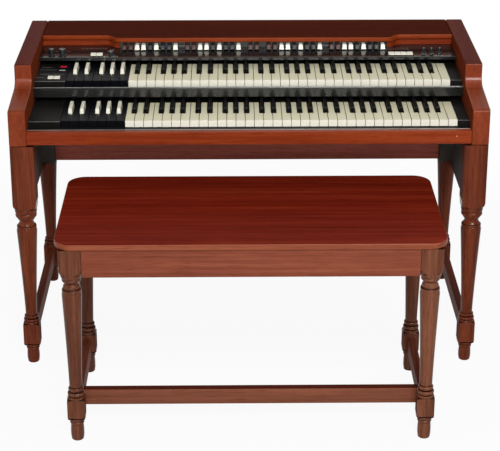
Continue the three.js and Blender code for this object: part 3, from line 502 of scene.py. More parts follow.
class Form:
    """A piece being shaped from bmesh operators."""

    def __init__(self) -> None:
        """Start an empty form."""
        self.bm = bmesh.new()

    @classmethod
    def of_node(cls, node: str) -> "Form":
        """Return a form that starts as a merged copy of a CAD node.

        Args:
            node: the node's name.

        Returns:
            The form, with coplanar triangles joined.
        """
        form = cls()
        form.bm.from_mesh(frame["nodes"][node].data)
        bmesh.ops.remove_doubles(form.bm, verts=form.bm.verts, dist=MERGE_REACH)
        bmesh.ops.dissolve_limit(form.bm, angle_limit=FLAT_ANGLE, verts=form.bm.verts, edges=form.bm.edges)
        return form

    @classmethod
    def bar(cls, low: Sequence[float], high: Sequence[float], width: float, segments: int = 2) -> "Form":
        """Return a form that starts as a rounded bar between two corners."""
        form = cls()
        form.block(low, high)
        form.soften(width, segments, SQUARE_EDGE)
        return form

    def block(self, low: Sequence[float], high: Sequence[float], place: Matrix = UNMOVED) -> List[Any]:
        """Add a box between two corners, moved by a matrix, and return its vertices."""
        middle = (Vector(low) + Vector(high)) / 2
        box = Matrix.Translation(middle) @ Matrix.Diagonal((*(Vector(high) - Vector(low)), 1.0))
        return bmesh.ops.create_cube(self.bm, size=1.0, matrix=place @ box)["verts"]

    def turn_outward(self, verts: Sequence[Any]) -> None:
        """Make the faces at some vertices face outward."""
        faces = list({face for vert in verts for face in vert.link_faces})
        bmesh.ops.recalc_face_normals(self.bm, faces=faces)

    def slab(self, outline: Sequence[Pair], bottom: float, top: float) -> None:
        """Add a plan outline drawn up from bottom to top."""
        corners = [self.bm.verts.new((x, y, bottom)) for x, y in outline]
        face = self.bm.faces.new(corners)
        drawn = bmesh.ops.extrude_face_region(self.bm, geom=[face])["geom"]
        raised = [item for item in drawn if isinstance(item, bmesh.types.BMVert)]
        bmesh.ops.translate(self.bm, verts=raised, vec=(0.0, 0.0, top - bottom))
        self.turn_outward(corners + raised)

    def turned(self, profile: Sequence[Pair], facets: int, place: Matrix) -> None:
        """Add a profile of radius and height turned about the vertical.

        Args:
            profile: pairs of radius and height; it starts and ends on the axis.
            facets: how many steps round.
            place: where the turned form goes.
        """
        before = set(self.bm.verts)
        chain = [self.bm.verts.new((radius, 0.0, height)) for radius, height in profile]
        edges = [self.bm.edges.new(pair) for pair in zip(chain, chain[1:])]
        bmesh.ops.spin(self.bm, geom=chain + edges, cent=(0, 0, 0), axis=(0, 0, 1), dvec=(0, 0, 0),
                       angle=math.tau, steps=facets, use_merge=True)
        made = [vert for vert in self.bm.verts if vert not in before]
        bmesh.ops.remove_doubles(self.bm, verts=made, dist=AXIS_REACH)
        made = [vert for vert in self.bm.verts if vert not in before]
        self.turn_outward(made)
        bmesh.ops.transform(self.bm, matrix=place, verts=made)

    def soften(self, width: float, segments: int = 2, least: float = 40.0,
               chosen: Optional[Test] = None) -> None:
        """Round the edges that are sharper than an angle.

        Args:
            width: the bevel's width in metres.
            segments: how many faces the bevel has.
            least: the angle between faces, in degrees, from which an edge is rounded.
            chosen: tells which edges may be rounded.
        """
        limit = math.radians(least)
        edges = [edge for edge in self.bm.edges if len(edge.link_faces) == 2
                 and edge.calc_face_angle(0.0) > limit and (chosen is None or chosen(edge))]
        bmesh.ops.bevel(self.bm, geom=edges, offset=width, offset_type="OFFSET", segments=segments,
                        profile=0.5, affect="EDGES", clamp_overlap=True, material=-1)

    def piece(self, name: str, finish: Finish, body: str, *replaced: str, crease: float = 40.0,
              accents: Sequence[Accent] = ()) -> None:
        """Finish the form as an object.

        Args:
            name: the piece's name.
            finish: its finish.
            body: the body that it rides on.
            replaced: CAD nodes that it stands for.
            crease: the angle in degrees past which an edge stays sharp.
            accents: further finishes, each with a test that tells its faces.
        """
        limit = math.radians(crease)
        self.bm.normal_update()
        for face in self.bm.faces:
            face.smooth = face.calc_area() < LARGE_FACE
            for number, (_, chosen) in enumerate(accents, start=1):
                if chosen(face):
                    face.material_index = number
        for edge in self.bm.edges:
            edge.smooth = edge.calc_face_angle(0.0) < limit
        mesh = bpy.data.meshes.new(name)
        self.bm.to_mesh(mesh)
        self.bm.free()
        for look in (finish, *(accent for accent, _ in accents)):
            mesh.materials.append(look.material())
        made = linked(name, mesh)
        flat = made.modifiers.new("flat_faces", "WEIGHTED_NORMAL")
        flat.keep_sharp = True
        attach(made, body)
        if replaced:
            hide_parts(*replaced)
        LOG.info("%s: %d faces on %s", name, len(mesh.polygons), body)


def dressed(node: str, finish: Finish, width: float, body: str = CONSOLE, segments: int = 2,
            accents: Sequence[Accent] = ()) -> None:
    """Give a CAD node rounded edges and a finish.

    Args:
        node: the CAD node.
        finish: its finish.
        width: the width of the rounding in millimetres.
        body: the body that it rides on.
        segments: how many faces the rounding has.
        accents: further finishes, each with a test that tells its faces.
    """
    form = Form.of_node(node)
    form.soften(width * MM, segments)
    form.piece(f"{node}_dressed", finish, body, node, accents=accents)


def facing(axis: str, sign: int, least: float = 0.7, above: float = -1.0) -> Test:
    """Return a test for faces that look one way and lie above a height.

    Args:
        axis: the axis that they look along.
        sign: 1 or -1, the way along it.
        least: the least share of the normal along the axis.
        above: the least height of a face's middle.

    Returns:
        The test.
    """
    number = "xyz".index(axis)
    return lambda face: face.normal[number] * sign > least and face.calc_center_median().z > above


def sideways(least: float) -> Test:
    """Return a test for faces that look left or right."""
    return lambda face: abs(face.normal.x) > least


def at_end(axis: str, sign: int, end: float) -> Test:
    """Return a test for vertices that lie within a millimetre of a form's end."""
    number = "xyz".index(axis)
    return lambda vert: (vert.co[number] - end) * sign > -MM


def arc(centre: Pair, radius: float, start: float, end: float, steps: int) -> List[Pair]:
    """Return points on an arc, with angles in degrees."""
    angles = [math.radians(start + (end - start) * i / steps) for i in range(steps + 1)]
    return [(centre[0] + radius * math.cos(a), centre[1] + radius * math.sin(a)) for a in angles]


def middle_x(node: str) -> float:
    """Return where a CAD node's middle stands across the organ."""
    low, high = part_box(node)
    return (low.x + high.x) / 2


@dataclass
class TurnedLeg:
    """A turned leg with square blocks; the profile of its head is in millimetres."""

    foot_radius: float = 16.3 * MM
    foot_height: float = 38.0 * MM
    ring_radius: float = 19.0 * MM
    ring_top: float = 53.0 * MM
    low_block: float = 43.0 * MM
    low_block_top: float = 116.0 * MM
    low_turns: Pair = (6.0 * MM, 4.0 * MM)
    collar_radius: float = 20.8 * MM
    collar_top: float = 140.0 * MM
    collar_foot: float = 0.16
    collar_beads: Sequence[Tuple[float, float, float, float]] = (
        (0.38, 0.0, 0.19, 0.17), (0.78, 1.5, 0.18, 0.16))
    shaft_radius: float = 14.8 * MM
    shaft_steps: int = 12
    swelling: float = 1.25
    bulb_radius: float = 26.5 * MM
    bulb_height: float = 380.0 * MM
    head_drop: float = 11.0 * MM
    block_bottom: float = 444.7 * MM
    block: float = 60.0 * MM
    block_turns: Pair = (20.0 * MM, 1.0 * MM)
    block_edge: float = 3.5 * MM
    chamfer: float = 1.5 * MM
    core_share: float = 0.4
    turned_share: float = 0.95
    bead_steps: int = 5
    facets: int = 48
    head: Sequence[Pair] = (
        (25.4, 397.6), (24.2, 399.4), (25.2, 401.0), (25.6, 403.4), (24.8, 405.8), (22.6, 407.2),
        (21.8, 408.8), (20.0, 411.4), (18.7, 414.0), (18.3, 416.4), (18.9, 419.2), (20.6, 422.4),
        (22.8, 425.6), (24.2, 428.2), (24.3, 429.4), (26.2, 430.4), (27.3, 432.4), (27.7, 435.4),
        (27.3, 438.6), (26.4, 440.2), (25.7, 441.2), (27.4, 442.4), (28.3, 444.6), (28.6, 447.6),
        (28.4, 451.4), (27.6, 454.2), (26.6, 456.0))

    def bead(self, height: float, radius: float, half: float, depth: float) -> List[Pair]:
        """Return a round bead in the profile.

        Args:
            height: the bead's middle.
            radius: its outer radius.
            half: half its height.
            depth: how far it stands out.

        Returns:
            Profile points from the bottom up.
        """
        return [(radius - depth + depth * x, height + half * z)
                for x, z in arc((0.0, 0.0), 1.0, -90.0, 90.0, self.bead_steps)]

    def foot_and_collar(self) -> List[Pair]:
        """Return the profile from the floor to the top of the collar."""
        core = self.low_block * self.core_share
        half = (self.ring_top - self.foot_height) / 4
        span = self.collar_top - self.low_block_top
        points = [(0.0, 0.0), (self.foot_radius - self.chamfer * 2, 0.0),
                  (self.foot_radius - self.chamfer, self.chamfer)]
        points += [(self.foot_radius, self.foot_height * share) for share in (0.3, 0.6)]
        points += [(self.foot_radius - self.chamfer * 0.6, self.foot_height)]
        points += self.bead(self.foot_height + half, self.ring_radius - self.chamfer, half, half)
        points += self.bead(self.ring_top - half, self.ring_radius, half, half)
        points += [(core, self.ring_top + self.chamfer), (core, self.low_block_top - self.chamfer),
                   (self.collar_radius, self.low_block_top),
                   (self.collar_radius - self.chamfer, self.low_block_top + span * self.collar_foot)]
        for share, inset, tall, deep in self.collar_beads:
            points += self.bead(self.low_block_top + span * share, self.collar_radius - self.chamfer * inset,
                                span * tall, span * deep)
        return points

    def shaft(self) -> List[Pair]:
        """Return the swelling shaft from the collar up."""
        shares = [i / self.shaft_steps for i in range(self.shaft_steps + 1)]
        return [(self.shaft_radius + (self.bulb_radius - self.shaft_radius) * share ** self.swelling,
                 self.collar_top + (self.bulb_height - self.collar_top) * share) for share in shares]

    def outline(self, half: float) -> List[Vector]:
        """Return a square's outline with rounded corners."""
        inner = half - self.block_edge
        side = [(half, inner * share) for share in (-0.6, -0.2, 0.2, 0.6)]
        side += arc((inner, inner), self.block_edge, 0.0, 90.0, 4)
        turns = [Matrix.Rotation(quarter * math.pi / 2, 3, "Z") for quarter in range(4)]
        return [turn @ Vector((x, y, 0.0)) for turn in turns for x, y in side]

    def square(self, form: Form, width: float, span: Pair, place: Matrix, turns: Pair) -> None:
        """Add a square block whose corners are turned away at its ends.

        Args:
            form: the leg being shaped.
            width: the block's width.
            span: its lower and upper end.
            place: where the leg stands.
            turns: how far the turning reaches up from its lower and down from its upper end.
        """
        half = width / 2
        outline = self.outline(half)
        least = half * self.turned_share
        widest = max(point.length for point in outline)
        levels: List[Pair] = []
        for end, turn, way in zip(span, turns, (1, -1)):
            levels += [(end + way * turn * (1 - x), least + (widest - least) * z)
                       for x, z in arc((0.0, 0.0), 1.0, 0.0, 90.0, 5)][::way]
        rings = []
        for number, (height, reach) in enumerate(levels):
            made = bmesh.ops.create_circle(form.bm, cap_ends=number in (0, len(levels) - 1),
                                           segments=len(outline), radius=half)["verts"]
            for vert, point in zip(made, outline):
                vert.co = place @ Vector((*(point * min(1.0, reach / point.length)).xy, height))
            rings.append(made)
        for lower, upper in zip(rings, rings[1:]):
            both = set(lower) | set(upper)
            edges = [edge for edge in form.bm.edges if edge.verts[0] in both and edge.verts[1] in both
                     and abs(edge.verts[0].co.z - edge.verts[1].co.z) < MERGE_REACH]
            bmesh.ops.bridge_loops(form.bm, edges=edges)
        form.turn_outward([vert for ring in rings for vert in ring])

    def build(self, node: str, body: str, finish: Finish) -> None:
        """Make the leg in place of a CAD node.

        Args:
            node: the CAD leg.
            body: the body that it rides on.
            finish: its wood.
        """
        low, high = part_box(node)
        place = Matrix.Translation((*((low + high) / 2).xy, 0.0))
        top = high.z
        has_block = top > self.block_bottom
        profile = self.foot_and_collar() + self.shaft()
        if has_block:
            profile += [(radius * MM, height * MM - self.head_drop) for radius, height in self.head]
        else:
            profile += [(self.bulb_radius, top)]
        form = Form()
        form.turned([*profile, (0.0, profile[-1][1])], self.facets, place)
        self.square(form, self.low_block, (self.ring_top, self.low_block_top), place, self.low_turns)
        if has_block:
            self.square(form, self.block, (self.block_bottom, top), place, self.block_turns)
        # The blocks' side faces and the steep flanks of the turning are painted darker, as painted shade.
        form.piece(f"{node}_turned", finish, body, node, crease=SLOPED_EDGE, accents=[
            (LEG_SIDE_SHADED, lambda face: sideways(0.95)(face) and face.calc_area() > LARGE_FACE),
            (LEG_FLANK_SHADE, lambda face: abs(face.normal.z) > 0.6)])


@dataclass
class Manual:
    """One set of keys: its natural and sharp keys, playing and preset."""

    name: str
    natural_count: int = 36
    preset_count: int = 7
    slit: float = 0.9 * MM
    shown_slit: float = 1.3 * MM
    # Past this length from the front the naturals are drawn in ebony, as painted shade under the upper
    # manual.
    unshaded_length: float = 140.0 * MM
    head_length: float = 54.8 * MM
    key_length: float = 178.0 * MM
    key_overlap: float = 1.0 * MM
    slot_half: float = 7.2 * MM
    slot_reach: float = 12.24 * MM
    side_rounding: float = 0.45 * MM
    front_rounding: float = 1.6 * MM
    least_front: float = 5.0 * MM
    sharp_height: float = 21.0 * MM
    sharp_length: float = 66.0 * MM
    sharp_top_inset: float = 1.5 * MM
    sharp_front_slope: float = 5.0 * MM
    sharp_rounding: float = 1.4 * MM
    tail_tuck: float = 0.3 * MM
    tail_overlap: float = 2.0 * MM
    bar_depth: float = 34.0 * MM
    bar_height: float = 8.5 * MM
    lit_edge: Triple = (-0.85, -0.3, 0.3)
    offsets: Dict[int, float] = field(default_factory=lambda: {
        0: -0.14, 1: 0.14, 3: -0.18, 4: 0.0, 5: 0.18})

    def row(self, node: str, count: int) -> Tuple[float, float, List[float]]:
        """Return where a row of naturals starts, its pitch and where its sharps stand."""
        low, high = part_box(node)
        left = low.x - self.slit / 2
        pitch = (high.x - low.x + self.slit) / count
        return left, pitch, [left + (i + 1 + self.offsets[i % 7]) * pitch
                             for i in range(count - 1) if i % 7 in self.offsets]

    def naturals(self, node: str, count: int, finish: Finish) -> None:
        """Make a row of naturals with rounded front edges.

        Args:
            node: the CAD row.
            count: how many keys it has.
            finish: their plastic.
        """
        low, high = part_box(node)
        left, pitch, sharps = self.row(node, count)
        back = low.y + self.key_length + self.key_overlap
        notch = low.y + self.head_length
        form = Form()
        for i in range(count):
            start = left + i * pitch + self.shown_slit / 2
            end = start + pitch - self.shown_slit
            before = [x for x in sharps if abs(x - start) < self.slot_reach]
            after = [x for x in sharps if abs(x - end) < self.slot_reach]
            tail_left = before[0] + self.slot_half if before else start
            tail_right = after[0] - self.slot_half if after else end
            outline = [(start, low.y), (end, low.y)]
            outline += [(end, notch), (tail_right, notch)] if after else []
            outline += [(tail_right, back), (tail_left, back)]
            outline += [(tail_left, notch), (start, notch)] if before else []
            form.slab(outline, low.z, high.z)
        at_top, at_front = at_end("z", 1, high.z), at_end("y", -1, low.y)
        form.soften(self.side_rounding, 2, SQUARE_EDGE, lambda edge: all(map(at_top, edge.verts))
                    and not all(map(at_front, edge.verts)))
        form.soften(self.front_rounding, 4, SQUARE_EDGE, lambda edge: all(map(at_top, edge.verts))
                    and all(map(at_front, edge.verts))
                    and abs(edge.verts[0].co.x - edge.verts[1].co.x) > self.least_front)
        form.block((low.x, low.y + self.key_length, low.z), (high.x, high.y, high.z))
        looks = []
        if finish is IVORY:
            # Painted shade: past this depth the naturals are drawn in ebony, a dark sheet where the upper
            # manual's shade falls.
            shaded_from = low.y + self.unshaded_length
            bmesh.ops.bisect_plane(form.bm, geom=[*form.bm.verts, *form.bm.edges, *form.bm.faces],
                                   plane_co=(0.0, shaded_from, 0.0), plane_no=(0.0, 1.0, 0.0))
            # The front faces take painted light; the sides and the rear part take painted shade.
            looks = [(IVORY_FRONT_LIT, facing("y", -1, 0.95)), (KEY_SIDE_SHADE, sideways(0.9)),
                     (EBONY, lambda face: face.calc_center_median().y > shaded_from)]
        form.piece(f"{node}_keys", finish, f"{node}_body", node, accents=looks)

    def sharp_row(self, node: str, xs: Sequence[float], finish: Finish) -> None:
        """Make a row of sharps, tapered and sloped at the front.

        Args:
            node: the CAD row.
            xs: where its sharps stand.
            finish: their plastic.
        """
        low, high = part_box(node)
        half = xs[0] - low.x
        shaded_from = low.y + self.sharp_length
        at_top, at_front = at_end("z", 1, high.z), at_end("y", -1, low.y)
        form = Form()
        for x in xs:
            start = (x - half, low.y, high.z - self.sharp_height)
            for vert in form.block(start, (x + half, shaded_from, high.z)):
                if at_top(vert):
                    vert.co.x += self.sharp_top_inset * (1 if vert.co.x < x else -1)
                    if at_front(vert):
                        vert.co.y += self.sharp_front_slope
        form.soften(self.sharp_rounding, 3, SLOPED_EDGE, lambda edge: any(map(at_top, edge.verts)))
        bar_front = high.y - self.bar_depth
        bar_bottom = high.z - self.bar_height
        tail_half = half - self.sharp_top_inset - self.tail_tuck
        for x in xs:
            form.block((x - tail_half, shaded_from - self.tail_overlap, bar_bottom),
                       (x + tail_half, bar_front + MM, high.z - self.tail_tuck))
        form.block((low.x, bar_front, bar_bottom), (high.x, high.y, high.z))
        # Painted shade: behind the sharps' set length their tails and bar are drawn in ebony, so the white
        # preset sharps go dark where shade falls.
        looks = [(EBONY, lambda face: face.calc_center_median().y > shaded_from)]
        # The sharps' front-top bevels take the lighter ebony as a painted highlight.
        if finish is EBONY:
            steepest, flattest, least = self.lit_edge
            looks.append((EBONY_EDGE_HIGHLIGHT, lambda face: steepest < face.normal.y < flattest
                          and face.normal.z > least))
        form.piece(f"{node}_keys", finish, f"{node}_body", node, accents=looks)

    def build(self) -> None:
        """Make all four rows."""
        groups = (("", self.natural_count, IVORY, EBONY),
                  ("preset_", self.preset_count, BLACK_PRESET, WHITE_SHARP))
        for group, count, finish, _ in groups:
            self.naturals(f"{self.name}_{group}naturals", count, finish)
        for group, count, _, finish in groups:
            xs = self.row(f"{self.name}_{group}naturals", count)[2]
            self.sharp_row(f"{self.name}_{group}sharps", xs, finish)
        dressed(f"{self.name}_manual_frame", PANEL, 0.8)


@dataclass
class DrawbarBay:
    """Five sets of drawbars and the panel that they slide through."""

    pitch: float = 17.4 * MM
    cap_width: float = 13.5 * MM
    cap_length: float = 26.0 * MM
    cap_slope: float = 5.0 * MM
    cap_rounding: float = 1.2 * MM
    top_taper: float = 0.22
    back_taper: float = 0.12
    stem_width: float = 4.0 * MM
    stem_height: float = 5.0 * MM
    stem_rounding: float = 0.3 * MM
    bar_depth: float = 8.0 * MM
    slot_clearance: float = 0.7 * MM
    post_half: float = 4.0 * MM
    post_inset: float = 0.4 * MM
    mark_half: float = 0.4 * MM
    mark_skin: Pair = (0.1 * MM, 0.15 * MM)
    mark_rows: Sequence[Pair] = ((0.3, 2.8 * MM), (0.58, 1.8 * MM))
    colours: Tuple[str, ...] = (
        "brown", "brown", "white", "white", "black", "white", "black", "black", "white")

    def sets(self) -> Dict[str, int]:
        """Return each set's node with its number of drawbars."""
        counts = {}
        for node in frame["nodes"]:
            if node.endswith("_drawbars"):
                low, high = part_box(node)
                counts[node] = round((high.x - low.x - self.cap_width) / self.pitch) + 1
        return counts

    def cap(self, form: Form, x: float, low: Vector, high: Vector) -> None:
        """Add a tapered drawbar cap with a sloping front."""
        half = self.cap_width / 2
        at_top, at_front = at_end("z", 1, high.z), at_end("y", -1, low.y)
        at_back = at_end("y", 1, low.y + self.cap_length)
        for vert in form.block((x - half, low.y, low.z), (x + half, low.y + self.cap_length, high.z)):
            if at_top(vert):
                vert.co.x += (x - vert.co.x) * self.top_taper
                if at_front(vert):
                    vert.co.y += self.cap_slope
            if at_back(vert):
                vert.co.x += (x - vert.co.x) * self.back_taper

    def marks(self, node: str, xs: Sequence[float], low: Vector, high: Vector) -> None:
        """Put plain pale bars on the dark caps' sloping fronts."""
        form = Form()
        rise = high.z - low.z
        lean = Matrix.Rotation(-math.atan2(self.cap_slope, rise), 4, "X")
        inner, outer = self.mark_skin
        for x in xs:
            for share, half in self.mark_rows:
                place = Matrix.Translation((x, low.y + self.cap_slope * share, low.z + rise * share))
                form.block((-half, -inner, -self.mark_half), (half, outer, self.mark_half), place @ lean)
        form.piece(f"{node}_marks", CAP_PRINT, f"{node}_body")

    def stems(self, node: str, xs: Sequence[float], low: Vector, high: Vector) -> None:
        """Make a set's stems and the bar that joins them."""
        form = Form()
        half = self.stem_width / 2
        bottom, top = ((low.z + high.z) / 2 + self.stem_height * share for share in (-0.5, 0.5))
        joined = high.y - self.bar_depth
        for x in xs:
            form.block((x - half, low.y + self.cap_length - MM, bottom), (x + half, joined, top))
        form.block((xs[0] - half, joined, bottom), (xs[-1] + half, high.y, top))
        form.soften(self.stem_rounding, 1, SQUARE_EDGE)
        form.piece(f"{node}_stems", PLATED, f"{node}_body", node)

    def build(self) -> None:
        """Make the caps, stems and posts."""
        finishes = {"brown": BROWN_CAP, "white": WHITE_CAP, "black": BLACK_CAP}
        posts = Form()
        panel_low, panel_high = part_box("drawbar_panel")
        reach = self.stem_width / 2 + self.slot_clearance
        for node, count in self.sets().items():
            low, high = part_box(node)
            xs = [low.x + self.cap_width / 2 + i * self.pitch for i in range(count)]
            tints = self.colours[:count] if count == len(self.colours) else ("brown",) * count
            for tint in sorted(set(tints)):
                form = Form()
                for x, own in zip(xs, tints):
                    if own == tint:
                        self.cap(form, x, low, high)
                form.soften(self.cap_rounding, 3, SLOPED_EDGE)
                form.piece(f"{node}_{tint}_caps", finishes[tint], f"{node}_body", node)
            self.marks(node, [x for x, tint in zip(xs, tints) if tint != "white"], low, high)
            self.stems(node, xs, low, high)
            middle = (low.z + high.z) / 2
            for first, second in zip(xs, xs[1:]):
                posts.block((first + reach, panel_low.y + self.post_inset, middle - self.post_half),
                            (second - reach, panel_high.y - self.post_inset, middle + self.post_half))
        posts.piece("drawbar_slot_posts", GLOSS_PANEL, CONSOLE)
        dressed("drawbar_panel", GLOSS_PANEL, 0.3)


@dataclass
class ControlShelf:
    """The shelf with its knobs, tabs, lamps and printed marks; the tables are in millimetres."""

    lean: float = 0.5 * MM
    rise: float = 1.0 * MM
    flat_depth: float = 39.0 * MM
    knobs: Tuple[str, ...] = (
        "volume_knob", "overdrive_knob", "vibrato_switch", "reverb_knob", "bass_knob", "treble_knob")
    skirt_profile: Sequence[Pair] = ((0.0, 0.0), (0.0, 2.2), (1.6, 3.0), (2.2, 3.2))
    grip_profile: Sequence[Pair] = ((0.3, 1.6), (1.0, 0.4), (2.0, 0.0))
    grip_inset: float = 2.2 * MM
    rib_count: int = 24
    rib_foot: float = 3.2 * MM
    rib_root: float = 0.6 * MM
    rib_half: float = 0.35 * MM
    rib_drop: float = 1.8 * MM
    pointer_half: float = 0.6 * MM
    pointer_inset: float = 0.8 * MM
    pointer_end: float = 0.25
    tab_pitch: float = 16.6 * MM
    tab_width: float = 15.5 * MM
    tab_rounding: float = 0.7 * MM
    print_height: float = 0.15 * MM
    print_sink: float = 0.3
    ink: float = 0.1 * MM
    dashes: Tuple[float, ...] = (5.0, 3.0, 6.5, 4.0)
    dash_gap: float = 1.8
    knob_captions: Sequence[Tuple[str, float]] = (
        ("reverb_knob", 15.0), ("bass_knob", 12.0), ("treble_knob", 9.0))
    caption_gap: float = 5.0
    caption_depth: float = 1.6
    title: Tuple[float, float, float, float] = (6.0, 5.0, 22.0, 1.2)
    tab_captions: Sequence[Triple] = ((5.0, 11.0, 1.6), (10.0, 8.0, 1.4))
    switch_rows: Sequence[Triple] = ((4.0, 20.0, 1.4), (10.0, 18.0, 1.4), (70.0, 7.0, 1.4))
    knob_rows: Sequence[Triple] = ((3.0, 18.0, 1.6), (12.0, 18.0, 1.6), (53.0, 18.0, 1.6))
    side_rows: Sequence[Tuple[float, Sequence[Triple]]] = (
        (-419.0, ((77.0, 35.0, 2.4),)), (405.0, ((63.0, 35.0, 2.4), (73.0, 35.0, 2.4))))
    lenses: Sequence[Tuple[Finish, str, float, float, float, float]] = (
        (RED_LAMP, "red_lamp_lens", 7.5, 24.5, 123.0, 131.0),
        (WHITE_LAMP, "white_lamp_lens", 7.25, 22.75, 92.0, 97.0))
    lens_skin: Pair = (0.2 * MM, 0.5 * MM)
    lens_rounding: float = 0.3 * MM
    block_drop: float = 2.0 * MM
    block_rows: Sequence[Triple] = (
        (-42.0, -11.0, 119.0), (-45.0, 0.0, 99.0), (-41.0, 25.0, 60.0), (-49.5, -26.0, 32.0))
    block_row_depth: float = 2.2 * MM

    def knob(self, node: str) -> None:
        """Make a ribbed knob with a white pointer, square on the shelf."""
        joint = next(joint for joint in frame["joints"] if joint["child"] == f"{node}_body")
        axis = Vector(joint["axis"]).normalized()
        upright = Matrix.Rotation(-math.atan2(axis.y, axis.z), 4, "X")
        place = Matrix.Translation(Vector(joint["pos_m"])) @ upright
        low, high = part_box(node)
        radius = (high.x - low.x) / 2
        height = (high.z - low.z) / axis.z - 2 * radius * abs(axis.y)
        grip = radius - self.grip_inset
        profile = [(0.0, 0.0), *((radius - inset * MM, up * MM) for inset, up in self.skirt_profile),
                   *((grip - inset * MM, height - drop * MM) for inset, drop in self.grip_profile),
                   (0.0, height)]
        form = Form()
        form.turned(profile, self.rib_count * 2, place)
        for i in range(self.rib_count):
            form.block((grip - self.rib_root, -self.rib_half, self.rib_foot),
                       (grip + self.rib_half, self.rib_half, height - self.rib_drop),
                       place @ Matrix.Rotation(math.tau * i / self.rib_count, 4, "Z"))
        form.piece(f"{node}_cap", KNOB_BLACK, f"{node}_body", node)
        pointer = Form()
        pointer.block((-self.pointer_half, self.pointer_inset - grip, height - self.ink),
                      (self.pointer_half, -grip * self.pointer_end, height + self.ink), place)
        pointer.piece(f"{node}_pointer", PRINT, f"{node}_body")

    def tabs(self, node: str) -> None:
        """Make a row of rocker tabs."""
        form = Form.of_node(node)
        form.soften(self.tab_rounding, 3, SLOPED_EDGE)
        form.piece(f"{node}_rockers", CREAM, f"{node}_body", node)

    def front(self) -> float:
        """Return where the shelf's top starts."""
        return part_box("control_shelf")[0].y + self.lean

    def surface_height(self, y: float) -> float:
        """Return the shelf's top at a depth."""
        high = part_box("control_shelf")[1]
        front = self.front()
        share = min(max((y - front) / (high.y - self.flat_depth - front), 0.0), 1.0)
        return high.z - self.rise * (1.0 - share)

    def mark(self, form: Form, x: float, y: float, width: float, depth: float) -> None:
        """Add a printed bar that lies on the shelf, its width and depth in millimetres."""
        half = width * MM / 2
        for vert in form.block((x - half, y, 0.0), (x + half, y + depth * MM, self.print_height)):
            vert.co.z += self.surface_height(vert.co.y) - self.print_height * self.print_sink

    def rows(self, form: Form, middle: float, table: Sequence[Triple]) -> None:
        """Add printed rows of short bars about a place.

        Args:
            form: the print being shaped.
            middle: the place across the organ.
            table: each row's place behind the shelf's front, its reach to each side and its depth.
        """
        for back, reach, depth in table:
            x, number = -reach, 0
            while x < reach:
                width = min(self.dashes[number % len(self.dashes)], reach - x)
                self.mark(form, middle + (x + width / 2) * MM, self.front() + back * MM, width, depth)
                x += width + self.dash_gap
                number += 1

    def prints(self) -> None:
        """Print plain captions, as bars, beside the controls."""
        form = Form()
        for node, width in self.knob_captions:
            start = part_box(node)[0].y - self.caption_gap * MM
            self.mark(form, middle_x(node), start, width, self.caption_depth)
        inward, back, width, depth = self.title
        self.mark(form, middle_x("treble_knob") - inward * MM, self.front() + back * MM, width, depth)
        self.rows(form, middle_x("vibrato_switch"), self.switch_rows)
        form.piece("shelf_prints", PRINT, CONSOLE)
        faint = Form()
        for node in ("vibrato_tabs", "percussion_tabs"):
            start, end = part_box(node)
            for i in range(round((end.x - start.x) / self.tab_pitch)):
                middle = start.x + self.tab_width / 2 + i * self.tab_pitch
                for back, width, depth in self.tab_captions:
                    self.mark(faint, middle, end.y + back * MM, width, depth)
        for node in ("volume_knob", "overdrive_knob"):
            self.rows(faint, middle_x(node), self.knob_rows)
        for middle, table in self.side_rows:
            self.rows(faint, middle * MM, table)
        faint.piece("shelf_faint_prints", DIM_PRINT, CONSOLE)

    def lamps(self) -> None:
        """Make the two lamps and the printed bars of the upper left end block."""
        keys_low, keys_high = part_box("upper_preset_naturals")
        top = keys_high.z - self.block_drop
        middle = middle_x("preset_tabs")
        sunk, proud = self.lens_skin
        for finish, name, left, right, front, back in self.lenses:
            Form.bar((middle + left * MM, keys_low.y + front * MM, top - sunk),
                     (middle + right * MM, keys_low.y + back * MM, top + proud),
                     self.lens_rounding, 1).piece(name, finish, CONSOLE)
        prints = Form()
        for left, right, front in self.block_rows:
            start = keys_low.y + front * MM
            prints.block((middle + left * MM, start, top - self.ink),
                         (middle + right * MM, start + self.block_row_depth, top + self.ink))
        prints.piece("end_block_prints", DIM_PRINT, CONSOLE)

    def build(self) -> None:
        """Make the shelf and all that stands on it."""
        dressed("control_shelf", MATT_PANEL, 0.6, accents=[
            (GLOSS_PANEL, facing("z", 1, 0.985)), (FASCIA, facing("y", -1, 0.985))])
        for node in self.knobs:
            self.knob(node)
        for node in ("vibrato_tabs", "percussion_tabs", "preset_tabs"):
            self.tabs(node)
        self.prints()
        self.lamps()


